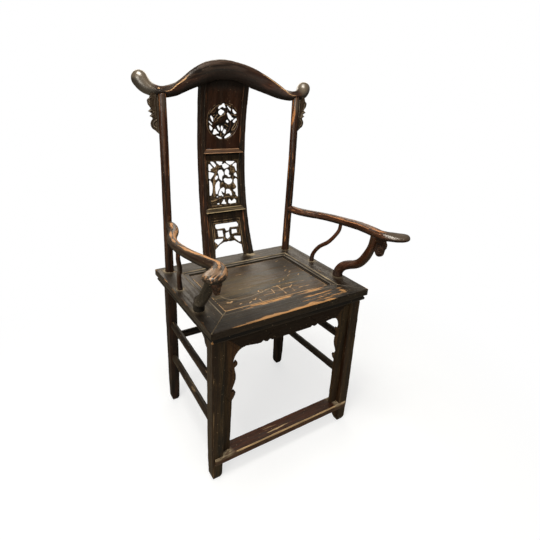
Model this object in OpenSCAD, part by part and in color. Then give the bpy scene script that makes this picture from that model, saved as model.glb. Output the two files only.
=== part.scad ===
// Officials hat armchair: a yoke-back chair in dark lacquered wood.
// Every member is its own piece, joined by tenons, tongues and mitres as on the real chair.
// Millimetres, +Z up, +Y to the back, origin on the floor under the middle of the whole chair.

/* [Seat] */
// Height of the seat's top above the floor
seat_height = 520; // [490:5:550]
// Width of the seat frame
seat_width = 544; // [510:2:590]
// Depth of the seat frame, front to back
seat_depth = 427; // [405:1:460]
// Width of each mitred frame rail
rail_width = 84; // [80:1:90]
// Thickness of the frame rails, down to the lip under their edge
rail_thick = 37; // [35:1:42]
// Height of the flat band round the frame's edge
band_height = 21; // [16:1:23]
// Depth of the hollow under the band
edge_hollow = 7; // [4:1:9]
// Height of the thin lip at the bottom of the edge
lip_height = 5; // [3:1:7]
// Width of the stepped moulding round the panel
step_width = 17; // [12:1:20]
// Drop of the stepped moulding below the frame's top
step_drop = 2.5; // [1.5:0.5:4]
// Drop of the panel's top below the frame's top
panel_drop = 4; // [3:0.5:6]
// Thickness of the seat panel
panel_thick = 15; // [12:1:17]
// Width of the battens under the panel
batten_width = 32; // [24:2:44]

/* [Legs] */
// Width of the front legs
front_leg_width = 38; // [34:1:42]
// Depth of the front legs, front to back
front_leg_depth = 34; // [30:1:40]
// Width of the rear legs below the seat
rear_leg_width = 32; // [30:1:38]
// Setback of the front legs from the seat's side edges
leg_side_setback = 11; // [8:1:16]
// Setback of the front legs from the seat's front edge
leg_front_setback = 17; // [14:1:22]
// How far the front feet stand forward of the leg tops
front_splay = 12; // [0:1:16]
// How far the rear feet stand inward of the leg tops
rear_tuck = 2; // [0:1:8]
// How far the rear feet stand forward of the leg tops
rear_lean = 7; // [0:1:10]
// Width of the worn front feet
front_foot_width = 32; // [28:1:38]
// Width of the worn rear feet
rear_foot_width = 28; // [26:1:32]
// Width of the grooves worked along the legs
groove_width = 2; // [1:0.5:3]

/* [Back] */
// Distance of the posts' axes from the seat's side edges
post_side_inset = 39; // [36:1:42]
// Distance of the posts' axes from the seat's back edge
post_back_inset = 31; // [29:1:38]
// Radius of the round posts above the seat
post_radius = 14; // [12.5:0.5:15.5]
// Height of the posts' tops above the seat
post_rise = 546; // [500:2:600]
// How far the posts sweep back by their tops
post_sweep = 10; // [0:1:24]
// Height of the headrest's top edge above the seat
crest_rise = 653; // [600:1:700]
// Height of the crest rail's middle
crest_height = 70; // [62:1:76]
// Depth of the crest rail's middle
crest_depth = 46; // [40:1:50]
// How far the crest rail's middle stands behind the posts' tops
crest_bow = 72; // [60:1:84]
// Radius of the crest rail's bulbous ends
tip_radius = 23.5; // [20:0.5:27]
// How far the middle of each bulbous end stands outside the post
tip_reach = 55; // [50:1:66]
// Height of the carved ears under the crest rail
ear_height = 106; // [90:2:120]
// Width of the carved ears
ear_width = 36; // [28:1:42]
// Thickness of the carved ears
ear_thick = 11; // [8:1:16]

/* [Splat] */
// Half the width of the splat at its narrowest
splat_half = 86; // [78:1:94]
// Spread of the splat's foot on each side
splat_foot_spread = 11.5; // [4:0.5:16]
// Width of the splat's two stiles
splat_stile_width = 22; // [18:1:26]
// Depth of the splat's two stiles, front to back
splat_stile_depth = 23; // [18:1:28]
// How far the splat bows back from its foot
splat_bow = 74; // [60:1:84]
// Distance of the splat's foot, at its face, behind the seat's front edge of the back rail
splat_foot_inset = 62; // [54:1:66]
// Thickness of the splat's panels
splat_panel_thick = 7; // [6:0.5:10]
// Setback of the panels behind the stiles' faces
splat_panel_setback = 5; // [3:0.5:7]
// Height of the lower cross rail above the seat
splat_low_rail_z = 160; // [150:1:170]
// Height of the upper cross rail above the seat
splat_high_rail_z = 359; // [340:1:370]
// Height of the two cross rails
splat_rail_height = 14; // [11:1:18]
// Radius of the round openwork medallion
medallion_radius = 57; // [52:1:60]
// Height of the medallion's centre above the seat
medallion_z = 463; // [455:1:472]

/* [Arms] */
// Height of the arms' middle line above the seat, at the posts
arm_height = 162; // [140:1:190]
// How far the arms climb by the goose-necks
arm_climb = 24; // [0:1:36]
// How far the arms bow out beyond the posts
arm_bow = 55; // [35:1:70]
// How far the arms' ends reach in front of the seat
arm_reach = 92; // [74:1:110]
// Radius of the arms
arm_radius = 13.5; // [12:0.5:15]
// Half the width of the arms' broad ends
knob_half_width = 27; // [24:1:32]
// Radius of the goose-necks at the seat
goose_radius = 16.5; // [15:0.5:19]
// Distance of the goose-necks' feet behind the seat's front edge
goose_foot_y = 121; // [105:1:140]
// Radius of the slender spindles
spindle_radius = 7.5; // [6.5:0.5:10]
// Distance of the spindles' feet behind the seat's front edge
spindle_foot_y = 258; // [235:1:280]
// Distance of the goose-necks' and spindles' feet from the seat's side edge
arm_post_inset = 21; // [21:1:28]
// Thickness of the carved brackets under the arms' ends
arm_bracket_thick = 10; // [8:1:14]

/* [Base] */
// Height of the front apron below the seat frame
apron_height = 56; // [46:1:70]
// Thickness of the aprons and spandrels
apron_thick = 11; // [8:1:14]
// Setback of the front apron behind the legs' faces
apron_setback = 5; // [3:1:9]
// Width of the straight spandrel strips beside the front legs
strip_width = 28; // [22:1:34]
// Height of the low side and back aprons
low_apron_height = 17; // [14:1:26]
// Height of the footrest's top above the floor
footrest_top = 82; // [60:2:110]
// Thickness of the footrest
footrest_thick = 24; // [20:1:32]
// How far the footrest stands in front of the front legs
footrest_lap = 4; // [3:1:10]
// How far the footrest runs behind the front legs' faces
footrest_back = 42; // [38:1:56]
// Height of the upper side stretchers' middle
upper_stretcher_z = 322; // [300:2:350]
// Height of the lower side stretchers' middle
lower_stretcher_z = 188; // [160:2:220]
// Height of the back stretcher's middle
back_stretcher_z = 264; // [236:2:280]
// Height of the stretchers' section
stretcher_height = 28; // [22:1:30]
// Depth of the stretchers' section
stretcher_depth = 21; // [17:1:25]

/* [Joints] */
// Clearance of the tenons and tongues in their mortises and grooves
fit_gap = 0.3; // [0.2:0.05:0.5]
// Length of the tenons of legs, stretchers and arm posts
tenon_length = 18; // [12:1:22]

/* [Hidden] */

$fn = 32;
tiny = 0.02;
dark = [0.13, 0.10, 0.08];
brown = [0.20, 0.13, 0.09];
worn = [0.36, 0.21, 0.12];

half_width = seat_width / 2;
frame_under = seat_height - rail_thick;

// Front legs: the middle of the leg's top and foot
front_top = [half_width - leg_side_setback - front_leg_width / 2,
             leg_front_setback + front_leg_depth / 2, frame_under];
front_foot = [front_top[0] + 2, front_top[1] - front_splay, 0];

// Rear posts: middle of the post at the seat and of its foot
post_x = half_width - post_side_inset;
post_y = seat_depth - post_back_inset;
rear_top = [post_x, post_y, frame_under];
rear_foot = [post_x - rear_tuck, post_y - rear_lean, 0];
post_top_z = seat_height + post_rise;
function post_turn(z) = max(0, z - seat_height) / post_rise;
function post_at(z) = [post_x + 3 * post_turn(z), post_y + post_sweep * pow(post_turn(z), 3), z];

// Splat: its face follows one parabola, and its width spreads at the foot
splat_top_z = seat_height + crest_rise - crest_height;
splat_crown_z = seat_height + 405;
splat_foot_y = seat_depth - rail_width + splat_foot_inset;
splat_top_spread = 2;
function splat_turn(z) = (z - splat_crown_z) / (splat_crown_z - seat_height);
function splat_face(z) = splat_foot_y + splat_bow * (1 - pow(splat_turn(z), 2));
function splat_edge(z) = z < splat_crown_z
    ? splat_half - splat_foot_spread * pow(splat_turn(z), 3)
    : splat_half + splat_top_spread * pow((z - splat_crown_z) / (splat_top_z - splat_crown_z), 2);
function splat_inner(z) = splat_edge(z) - splat_stile_width;
low_rail_z = seat_height + splat_low_rail_z;
high_rail_z = seat_height + splat_high_rail_z;
tongue = 5;

// Crest rail: its middle stands over the splat
crest_top_z = seat_height + crest_rise;
crest_mid_y = post_y + post_sweep + crest_bow;
crest_at_post_z = post_top_z + 5;
crest_half = crest_height / 2;
crest_post_y = post_y + post_sweep + 6;
tip_x = post_x + tip_reach;

// Arms: the middle line of the right arm, as x, y, z, half width and half height
arm_z = seat_height + arm_height;
arm_run = post_y - post_radius + arm_reach;
function arm_y(share) = post_y - post_radius - share * arm_run;
// A key gives shares of the bow, the run and the climb, a lift, and the half width and half height
function arm_key(bow, run, climb, lift, wide, tall) =
    [post_x + bow * arm_bow, arm_y(run), arm_z + climb * arm_climb + lift, wide, tall];
arm_keys = [
    arm_key(0,    -0.02, 0,    0,   arm_radius * 0.7,       arm_radius * 0.6),
    arm_key(0,    0.01,  0,    0,   arm_radius,             arm_radius - 1),
    arm_key(0.04, 0.065, 0,    0,   arm_radius + 3,         arm_radius - 0.5),
    arm_key(0.27, 0.15,  0.04, 0,   arm_radius + 3,         arm_radius - 0.5),
    arm_key(0.6,  0.23,  0.1,  0,   arm_radius + 1.5,       arm_radius - 0.5),
    arm_key(0.87, 0.32,  0.2,  0,   arm_radius + 0.5,       arm_radius - 0.2),
    arm_key(1,    0.45,  0.37, 0,   arm_radius + 0.3,       arm_radius + 0.3),
    arm_key(0.93, 0.63,  0.72, 0,   arm_radius + 0.8,       arm_radius + 0.8),
    arm_key(0.66, 0.79,  1,    -1,  arm_radius + 1.6,       arm_radius + 1),
    arm_key(0.58, 0.835, 1,    0,   arm_radius + 2.5,       arm_radius + 0.5),
    arm_key(0.69, 0.875, 1,    0.5, knob_half_width * 0.76, arm_radius),
    arm_key(0.91, 0.905, 1,    1,   knob_half_width * 0.96, arm_radius - 0.5),
    arm_key(1.11, 0.928, 1,    1.5, knob_half_width,        arm_radius - 0.8),
    arm_key(1.29, 0.945, 1,    2,   knob_half_width * 0.93, arm_radius - 1.5),
    arm_key(1.44, 0.96,  1,    2.5, knob_half_width * 0.7,  arm_radius - 3.5),
    arm_key(1.53, 0.968, 1,    3,   knob_half_width * 0.36, arm_radius - 7.5)
];
arm_steps = 3;
arm_sides = 16;
arm_rings = oval_rings(spline(arm_keys, arm_steps), [0, 0, 1], arm_sides);

// Where the arm posts stand and where they meet the arm
foot_x = half_width - arm_post_inset;
spindle_head = point_on(arm_keys, 5.95);
goose_head = point_on(arm_keys, 8);
goose_head_radius = 13;
spindle_head_radius = spindle_radius - 1;
head_tenon = 6;

// Smooth curve through a list of keys
function blend(a, b, c, d, t) = 0.5 * (2 * b + (c - a) * t + (2 * a - 5 * b + 4 * c - d) * t * t
    + (3 * b - a - 3 * c + d) * t * t * t);
function pick(k, i) = k[max(0, min(len(k) - 1, i))];
function point_on(k, s) = blend(pick(k, floor(s) - 1), pick(k, floor(s)), pick(k, floor(s) + 1),
    pick(k, floor(s) + 2), s - floor(s));
function spline(k, steps) = [for (i = [0 : (len(k) - 1) * steps]) point_on(k, i / steps)];
function xyz(p) = [p[0], p[1], p[2]];
function unit(v) = v / norm(v);
function heading(path, i) = unit(xyz(path[min(len(path) - 1, i + 1)]) - xyz(path[max(0, i - 1)]));

// Oval rings along a path whose points hold x, y, z, half width and half height
function oval_rings(path, ref, sides) = [
    for (i = [0 : len(path) - 1])
        let (t = heading(path, i), u = unit(cross(t, ref)), v = cross(u, t))
        [for (j = [0 : sides - 1])
            xyz(path[i]) + path[i][3] * cos(360 * j / sides) * u + path[i][4] * sin(360 * j / sides) * v]
];

// Closed skin over a list of rings of points
module skin(rings) {
    n = len(rings[0]);
    last = (len(rings) - 1) * n;
    polyhedron(
        points = [for (r = rings) each r],
        faces = concat(
            [for (j = [1 : n - 2]) [0, j + 1, j]],
            [for (j = [1 : n - 2]) [last, last + j, last + j + 1]],
            [for (i = [0 : len(rings) - 2]) for (j = [0 : n - 1])
                [i * n + j, i * n + (j + 1) % n, (i + 1) * n + j]],
            [for (i = [0 : len(rings) - 2]) for (j = [0 : n - 1])
                [i * n + (j + 1) % n, (i + 1) * n + (j + 1) % n, (i + 1) * n + j]]
        )
    );
}

// Stands a piece in the chair's frame; the pieces are drawn from the seat's front edge
module placed() { translate([0, -origin_y, 0]) children(); }
module left_side() { mirror([1, 0, 0]) children(); }

// Points of an arc
function arc(c, r, a0, a1, n = 6) = [for (i = [0 : n])
    let (a = a0 + (a1 - a0) * i / n) c + r * [cos(a), sin(a)]];

// A plate in the XZ plane: its outline is drawn as x and z, its face is at y
module plate(outline, y, thick) {
    translate([0, y + thick, 0]) rotate([90, 0, 0]) linear_extrude(thick) polygon(outline);
}
// A plate in the YZ plane: its outline is drawn as y and z, its face is at x
module side_plate(outline, x, thick) {
    translate([x, 0, 0]) rotate([90, 0, 90]) linear_extrude(thick) polygon(outline);
}

// A bar whose middle line runs from the foot to the top of a leg, longer than both
module leaning(foot, top) {
    rise = top[2] - foot[2];
    translate(foot)
        rotate([-atan2(top[1] - foot[1], rise), atan2(top[0] - foot[0], rise), 0])
        children();
}
function leg_at(foot, top, z) = foot + (top - foot) * (z - foot[2]) / (top[2] - foot[2]);

// A leg whose foot is worn narrow and round at the floor, as level rectangles from the floor up
function level_rect(c, half) = [for (q = [[1, 1], [1, -1], [-1, -1], [-1, 1]])
    c + [half[0] * q[0], half[1] * q[1], 0]];
module leg_stock(foot, top, size, foot_width) {
    wear = [[0, 2], [0.008, 1.3], [0.025, 0.95], [0.14, 0.42], [0.32, 0.08], [0.46, 0], [1, 0]];
    skin([for (w = wear)
        level_rect(leg_at(foot, top, w[0] * top[2]), size / 2 * (1 - (1 - foot_width / size[0]) * w[1]))]);
}
front_leg_size = [front_leg_width, front_leg_depth];
rear_leg_size = [rear_leg_width, rear_leg_width];
module front_stock() { leg_stock(front_foot, front_top, front_leg_size, front_foot_width); }
module rear_stock() { leg_stock(rear_foot, rear_top, rear_leg_size, rear_foot_width); }
// The grooves that set off a bead on the leg's outer corner, and a line near its inner edge
module leg_grooves(foot, top, size) {
    depth = groove_width * 0.75;
    bead = 7;
    low = 0.47 * top[2];
    a = leg_at(foot, top, low);
    slant = (top - a) / (top[2] - low);
    x = [size[0] / 2 - bead - groove_width, -size[0] / 2 + bead];
    y = -size[1] / 2;
    for (x0 = x)
        skin([for (h = [low, top[2] + 1])
            level_rect(a + slant * (h - low) + [x0 + groove_width / 2, y, 0], [groove_width / 2, depth])]);
    side = [size[0] / 2, y + bead + groove_width / 2, 0];
    skin([for (h = [low, top[2] + 1])
        level_rect(a + slant * (h - low) + side, [depth, groove_width / 2])]);
}

// Side stretchers run between the leg middles at one height
function front_at(z) = leg_at(front_foot, front_top, z);
function rear_at(z) = leg_at(rear_foot, rear_top, z);

// The oval section of a stretcher
stretcher_sides = 16;
stretcher_section = [for (j = [0 : stretcher_sides - 1])
    let (a = 360 * j / stretcher_sides) [stretcher_depth / 2 * cos(a), stretcher_height / 2 * sin(a)]];
// A bar lying from one point to another, at one height
module lying(a, b) {
    along = b - a;
    translate(a) rotate([0, 0, atan2(along[1], along[0])]) rotate([90, 0, 90])
        linear_extrude(norm(along)) children();
}
stretcher_tenon = [10, 14];
module tenon_bar(a, b, grow) {
    along = unit(b - a);
    lying(a - grow * along, b + grow * along)
        square([stretcher_tenon[0] + 2 * grow, stretcher_tenon[1] + 2 * grow], center = true);
}
// End of a tenon, measured from a leg's middle towards the other leg
function toward(a, b, d) = a + unit(b - a) * d;
function tenon_end(width) = width / 2 - tenon_length;

module side_tenons(z, grow) {
    a = front_at(z);
    b = rear_at(z);
    tenon_bar(toward(a, b, tenon_end(front_leg_depth)), toward(b, a, tenon_end(rear_leg_width)), grow);
}
module back_tenons(grow) {
    a = rear_at(back_stretcher_z);
    b = [-a[0], a[1], a[2]];
    tenon_bar(toward(a, b, tenon_end(rear_leg_width)), toward(b, a, tenon_end(rear_leg_width)), grow);
}

// Seat frame: section of a rail from its outer edge inwards
rail_inner = rail_width;
groove_floor = seat_height - 18;
groove_top = seat_height - 10;
tongue_thick = groove_top - groove_floor;
rail_section = [
    [0, seat_height - 1.5], [0, seat_height - band_height],
    [edge_hollow, seat_height - band_height - 1],
    [edge_hollow + 1, frame_under + lip_height + 5],
    [4, frame_under + lip_height], [4, frame_under],
    [rail_inner, frame_under], [rail_inner, groove_floor],
    [rail_inner - 8, groove_floor], [rail_inner - 8, groove_top],
    [rail_inner, groove_top], [rail_inner, seat_height - step_drop - 0.5],
    [rail_inner - 2, seat_height - step_drop + 0.5],
    [rail_inner - 4, seat_height - step_drop],
    [rail_inner - step_width + 1, seat_height - step_drop],
    [rail_inner - step_width, seat_height], [1.5, seat_height]
];
// A rail along X whose outer edge is at y = 0, mitred at both ends
module rail_stock(length) {
    intersection() {
        translate([-length / 2, 0, 0]) rotate([90, 0, 90]) linear_extrude(length) polygon(rail_section);
        linear_extrude(seat_height + 1)
            polygon([[-length / 2, 0], [length / 2, 0], [length / 2 - rail_inner, rail_inner],
                     [-length / 2 + rail_inner, rail_inner]]);
    }
}
module front_rail_stock() { rail_stock(seat_width); }
module back_rail_stock() { translate([0, seat_depth, 0]) mirror([0, 1, 0]) rail_stock(seat_width); }
module right_rail_stock() {
    translate([half_width, seat_depth / 2, 0]) rotate([0, 0, 90]) rail_stock(seat_depth);
}

leg_tenon = 18;
module front_leg_tenon(grow) {
    half = leg_tenon / 2 + grow;
    translate([front_top[0] - half, front_top[1] - half, frame_under - tiny])
        cube([2 * half, 2 * half, tenon_length + grow + tiny]);
}
module post_hole() {
    translate([post_x, post_y, frame_under - 1]) cylinder(r = post_radius + fit_gap, h = rail_thick + 2);
}
arm_foot_tenon = 7;
module foot_tenon(y, grow) {
    translate([foot_x, y, seat_height - tenon_length - grow])
        cylinder(r = arm_foot_tenon + grow, h = tenon_length + grow + tiny);
}
splat_tenon_depth = 10;
// Tenons under the splat's stiles and over their tops
module splat_tenons(side, grow) {
    x0 = splat_edge(seat_height) - splat_stile_width / 2 - 7;
    translate([side > 0 ? x0 - grow : -x0 - 14 - grow,
               splat_face(seat_height) + splat_stile_depth / 2 - 4 - grow,
               seat_height - splat_tenon_depth - grow])
        cube([14 + 2 * grow, 8 + 2 * grow, splat_tenon_depth + grow + tiny]);
}
batten_x = half_width * 0.36;
batten_drop = 14;
batten_tenon = 9;
batten_lift = 3;
module batten(grow) {
    reach = batten_tenon + grow;
    translate([batten_x - batten_width / 2 - grow, rail_inner - reach, frame_under + batten_lift - grow])
        cube([batten_width + 2 * grow, seat_depth - 2 * rail_inner + 2 * reach, batten_drop + 2 * grow]);
}

module seat_front_rail() {
    color(worn) placed() difference() {
        front_rail_stock();
        front_leg_tenon(fit_gap);
        left_side() front_leg_tenon(fit_gap);
        batten(fit_gap);
        left_side() batten(fit_gap);
    }
}
module seat_back_rail() {
    color(dark) placed() difference() {
        back_rail_stock();
        post_hole();
        left_side() post_hole();
        splat_tenons(1, fit_gap);
        splat_tenons(-1, fit_gap);
        batten(fit_gap);
        left_side() batten(fit_gap);
    }
}
module right_rail() {
    placed() difference() {
        right_rail_stock();
        front_leg_tenon(fit_gap);
        post_hole();
        foot_tenon(goose_foot_y, fit_gap);
        foot_tenon(spindle_foot_y, fit_gap);
    }
}
module seat_right_rail() { color(dark) right_rail(); }
module seat_left_rail() { color(dark) left_side() right_rail(); }

// The floating panel: its edge is a tongue in the rails' grooves
module seat_panel() {
    edge = rail_inner + fit_gap;
    tongue_reach = 7;
    panel_top = seat_height - panel_drop;
    color(brown) placed() union() {
        translate([-half_width + edge, edge, panel_top - panel_thick])
            cube([seat_width - 2 * edge, seat_depth - 2 * edge, panel_thick]);
        translate([-half_width + edge - tongue_reach, edge - tongue_reach, groove_floor + fit_gap])
            cube([seat_width - 2 * edge + 2 * tongue_reach, seat_depth - 2 * edge + 2 * tongue_reach,
                  tongue_thick - 2 * fit_gap]);
    }
}
// Two battens cross under the panel, tenoned into the front and back rails
module seat_batten() {
    panel_under = seat_height - panel_drop - panel_thick;
    placed() union() {
        batten(0);
        translate([batten_x - batten_width / 2, rail_inner + 1, frame_under + batten_lift])
            cube([batten_width, seat_depth - 2 * rail_inner - 2, panel_under - frame_under - batten_lift]);
    }
}
module right_seat_batten() { color(brown) seat_batten(); }
module left_seat_batten() { color(brown) left_side() seat_batten(); }

// Footrest: a board that laps in front of the front legs and is notched round them
footrest_front = front_at(footrest_top)[1] - front_leg_depth / 2 - footrest_lap;
footrest_end = front_top[0] + front_leg_width / 2 - 8;
module footrest_stock() {
    translate([-footrest_end, footrest_front, footrest_top - footrest_thick])
        cube([2 * footrest_end, footrest_lap + footrest_back, footrest_thick]);
}
module footrest_tenon(grow) {
    a = front_at(footrest_top - footrest_thick / 2);
    translate([a[0] - front_leg_width / 2 - 4, a[1] - 7 - grow, footrest_top - footrest_thick + 6 - grow])
        cube([tenon_length + 4 + grow, 14 + 2 * grow, footrest_thick - 12 + 2 * grow]);
}
module footrest() {
    color(worn) placed() union() {
        difference() {
            footrest_stock();
            front_stock();
            left_side() front_stock();
            footrest_corner();
            left_side() footrest_corner();
        }
        footrest_tenon(0);
        left_side() footrest_tenon(0);
    }
}
// The board's end behind the leg's middle line and outside the leg is cut away
module footrest_corner() {
    a = front_at(footrest_top);
    translate([a[0], a[1] - front_leg_depth / 2 + 4, footrest_top - footrest_thick - 1])
        cube([60, 80, footrest_thick + 2]);
}

module front_leg() {
    placed() difference() {
        union() {
            front_stock();
            front_leg_tenon(0);
        }
        leg_grooves(front_foot, front_top, front_leg_size);
        side_tenons(upper_stretcher_z, fit_gap);
        side_tenons(lower_stretcher_z, fit_gap);
        footrest_tenon(fit_gap);
    }
}
module right_front_leg() { color(dark) front_leg(); }
module left_front_leg() { color(dark) left_side() front_leg(); }

// Rear post: a square leg below the seat and a round post above it, in one piece
post_rings = 14;
post_path = [for (i = [0 : post_rings]) let (z = frame_under + (post_top_z - frame_under) * i / post_rings)
    concat(post_at(z), [post_radius - 1.2 * post_turn(z), post_radius - 1.2 * post_turn(z)])];
post_sides = 20;
crest_tenon_radius = 6.5;
crest_tenon_length = 7;
module crest_tenon(grow) {
    translate(post_at(post_top_z) - [0, 0, tiny])
        cylinder(r = crest_tenon_radius + grow, h = crest_tenon_length + grow + tiny);
}
// The arm's rear tenon enters the post along Y
module arm_tenon(grow) {
    translate([post_x, post_y - post_radius - 6, arm_z]) rotate([-90, 0, 0])
        cylinder(r = 6 + grow, h = post_radius + 6 + grow);
}
ear_top_z = post_top_z - 6;
ear_low_z = ear_top_z - ear_height;
module rear_post() {
    placed() difference() {
        union() {
            difference() {
                rear_stock();
                leg_grooves(rear_foot, rear_top, rear_leg_size);
            }
            skin(oval_rings(post_path, [0, 1, 0], post_sides));
            crest_tenon(0);
        }
        side_tenons(upper_stretcher_z, fit_gap);
        side_tenons(lower_stretcher_z, fit_gap);
        back_tenons(fit_gap);
        arm_tenon(fit_gap);
    }
}
module right_rear_post() { color(dark) rear_post(); }
module left_rear_post() { color(dark) left_side() rear_post(); }

// Stretchers: oval bars scribed to the leaning legs
module side_stretcher(z) {
    a = front_at(z);
    b = rear_at(z);
    placed() union() {
        difference() {
            lying(a, b) polygon(stretcher_section);
            front_stock();
            rear_stock();
        }
        side_tenons(z, 0);
    }
}
module right_upper_stretcher() { color(dark) side_stretcher(upper_stretcher_z); }
module left_upper_stretcher() { color(dark) left_side() side_stretcher(upper_stretcher_z); }
module right_lower_stretcher() { color(dark) side_stretcher(lower_stretcher_z); }
module left_lower_stretcher() { color(dark) left_side() side_stretcher(lower_stretcher_z); }
module back_stretcher() {
    a = rear_at(back_stretcher_z);
    color(dark) placed() union() {
        difference() {
            lying(a, [-a[0], a[1], a[2]]) polygon(stretcher_section);
            rear_stock();
            left_side() rear_stock();
        }
        back_tenons(0);
    }
}

// Front apron: an ogee arch with small cusps, mitred to a spandrel strip on each side
apron_z = frame_under - apron_height;
leg_inner_x = front_top[0] - front_leg_width / 2;
strip_x = leg_inner_x - strip_width;
apron_y = leg_front_setback + apron_setback;
mitre_x = strip_x - 28;
mitre_z = apron_z + 4;
apron_half = [
    [0, apron_z - 4], [12, apron_z - 1], [70, apron_z],
    [76, apron_z + 5], [84, apron_z - 1], [92, apron_z + 1], [98, apron_z + 6],
    [106, apron_z + 1], [118, apron_z + 1], [mitre_x - 24, apron_z + 5], [mitre_x - 12, apron_z + 6],
    [mitre_x, mitre_z]
];
function mirrored(p) = [for (i = [len(p) - 1 : -1 : 0]) [-p[i][0], p[i][1]]];
module front_apron() {
    top_edge = [[leg_inner_x, frame_under], [-leg_inner_x, frame_under]];
    color(dark) placed() plate(concat(mirrored(apron_half), apron_half, top_edge), apron_y, apron_thick);
}
// Spandrel: a quarter arch, then a hook, a belly and a second hook over a straight strip
spandrel_edge = [for (p = [
    [-28, 4], [-20, 0], [-13, -7], [-7, -16], [-3, -27], [-1.5, -36], [-4, -40], [-8, -40], [-10, -36],
    [-13, -35], [-15, -39], [-15, -45], [-12, -50], [-6, -54],
    [-8, -66], [-11, -80], [-11, -94], [-8, -106], [-3, -119], [2, -133],
    [0, -138], [-4, -138], [-7, -135], [-10, -136], [-12, -140], [-11, -147], [-7, -156], [-1, -165]])
    [strip_x + p[0], apron_z + p[1]]];
module spandrel() {
    placed() difference() {
        plate(concat([[leg_inner_x + 60, frame_under]], [[leg_inner_x, frame_under]], spandrel_edge,
            [[strip_x + 2, footrest_top], [leg_inner_x + 60, footrest_top]]), apron_y, apron_thick);
        leaning(front_foot, front_top)
            translate([-front_leg_width / 2, -100, -30]) cube([200, 200, front_top[2] + 60]);
    }
}
module right_spandrel() { color(dark) spandrel(); }
module left_spandrel() { color(dark) left_side() spandrel(); }

// Low side apron with a curved bracket at the front leg: the bracket's run and drop, its arc's radius
side_bracket = [70, 36];
side_bracket_radius = 26;
low_apron_z = frame_under - low_apron_height;
low_apron_setback = 8;
leg_outer_x = front_top[0] + front_leg_width / 2;
module side_apron() {
    y0 = front_top[1] + front_leg_depth / 2;
    y1 = rear_top[1];
    run = side_bracket[0];
    low = low_apron_z - side_bracket[1];
    outline = concat(
        [[y0 - front_leg_depth, frame_under], [y0 - front_leg_depth, low], [y0, low]],
        arc([y0 + 0.11 * run, low + side_bracket_radius], side_bracket_radius, -80, -10, 5),
        [[y0 + 0.74 * run, low_apron_z - 0.11 * side_bracket[1]], [y0 + run, low_apron_z],
         [y1, low_apron_z], [y1, frame_under]]
    );
    placed() difference() {
        side_plate(outline, leg_outer_x - low_apron_setback - apron_thick, apron_thick);
        front_stock();
        rear_stock();
    }
}
module right_side_apron() { color(dark) side_apron(); }
module left_side_apron() { color(dark) left_side() side_apron(); }
// Back apron with a small bracket at each rear leg: the bracket's run from the leg's face and its drop
back_bracket = [74, 34];
back_apron_setback = 6;
module back_apron() {
    x1 = rear_top[0];
    face_x = x1 - rear_leg_width / 2;
    half = concat([[0, low_apron_z]],
        [for (p = [[1, 0], [0.7, 0.18], [0.41, 0.65], [0.27, 1]])
            [face_x - p[0] * back_bracket[0], low_apron_z - p[1] * back_bracket[1]]],
        [[x1, low_apron_z - back_bracket[1]]]);
    color(dark) placed() difference() {
        plate(concat(mirrored(half), half, [[x1, frame_under], [-x1, frame_under]]),
            rear_top[1] + rear_leg_width / 2 - back_apron_setback - apron_thick, apron_thick);
        rear_stock();
        left_side() rear_stock();
    }
}

// Splat stile: the bowed side profile cut to the outline that the front view shows
splat_rows = 18;
function rows(z0, z1) = [for (i = [0 : splat_rows]) z0 + (z1 - z0) * i / splat_rows];
module bowed(z0, z1, offset_y, depth, reach) {
    side_plate(concat([for (z = rows(z0, z1)) [splat_face(z) + offset_y, z]],
        [for (z = rows(z1, z0)) [splat_face(z) + offset_y + depth, z]]), -reach, 2 * reach);
}
splat_socket = 12;
// Front and depth of a plate that passes through the whole bowed splat
through_y = splat_foot_y - 100;
through = 300;
module stile_outline() {
    z1 = splat_top_z + splat_socket;
    plate(concat([for (z = rows(seat_height, z1)) [splat_edge(z), z]],
        [for (z = rows(z1, seat_height)) [splat_inner(z), z]]), through_y, through);
}
module panel_outline(z0, z1, reach) {
    plate(concat([for (z = rows(z0, z1)) [splat_inner(z) + reach, z]],
        [for (z = rows(z1, z0)) [-splat_inner(z) - reach, z]]), through_y, through);
}
// The groove that the panels' edges slide into
module panel_groove() {
    intersection() {
        bowed(seat_height, splat_top_z + splat_socket, splat_panel_setback - fit_gap,
            splat_panel_thick + 2 * fit_gap, splat_half + 40);
        panel_outline(seat_height, splat_top_z + splat_socket, tongue + fit_gap);
    }
}
rail_tenon = 8;
module cross_rail_core(z, grow) {
    y = splat_face(z);
    reach = splat_inner(z) + rail_tenon + grow;
    translate([-reach, y + splat_panel_setback - 2 - grow, z + 1 - grow])
        cube([2 * reach, splat_panel_thick + 2 + 2 * grow, splat_rail_height - 2 + 2 * grow]);
}
module splat_stile() {
    placed() union() {
        difference() {
            intersection() {
                bowed(seat_height, splat_top_z + splat_socket, 0, splat_stile_depth, splat_half + 40);
                stile_outline();
            }
            panel_groove();
            cross_rail_core(low_rail_z, fit_gap);
            cross_rail_core(high_rail_z, fit_gap);
        }
        splat_tenons(1, 0);
    }
}
module splat_right_stile() { color(brown) splat_stile(); }
module splat_left_stile() { color(brown) left_side() splat_stile(); }

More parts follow.
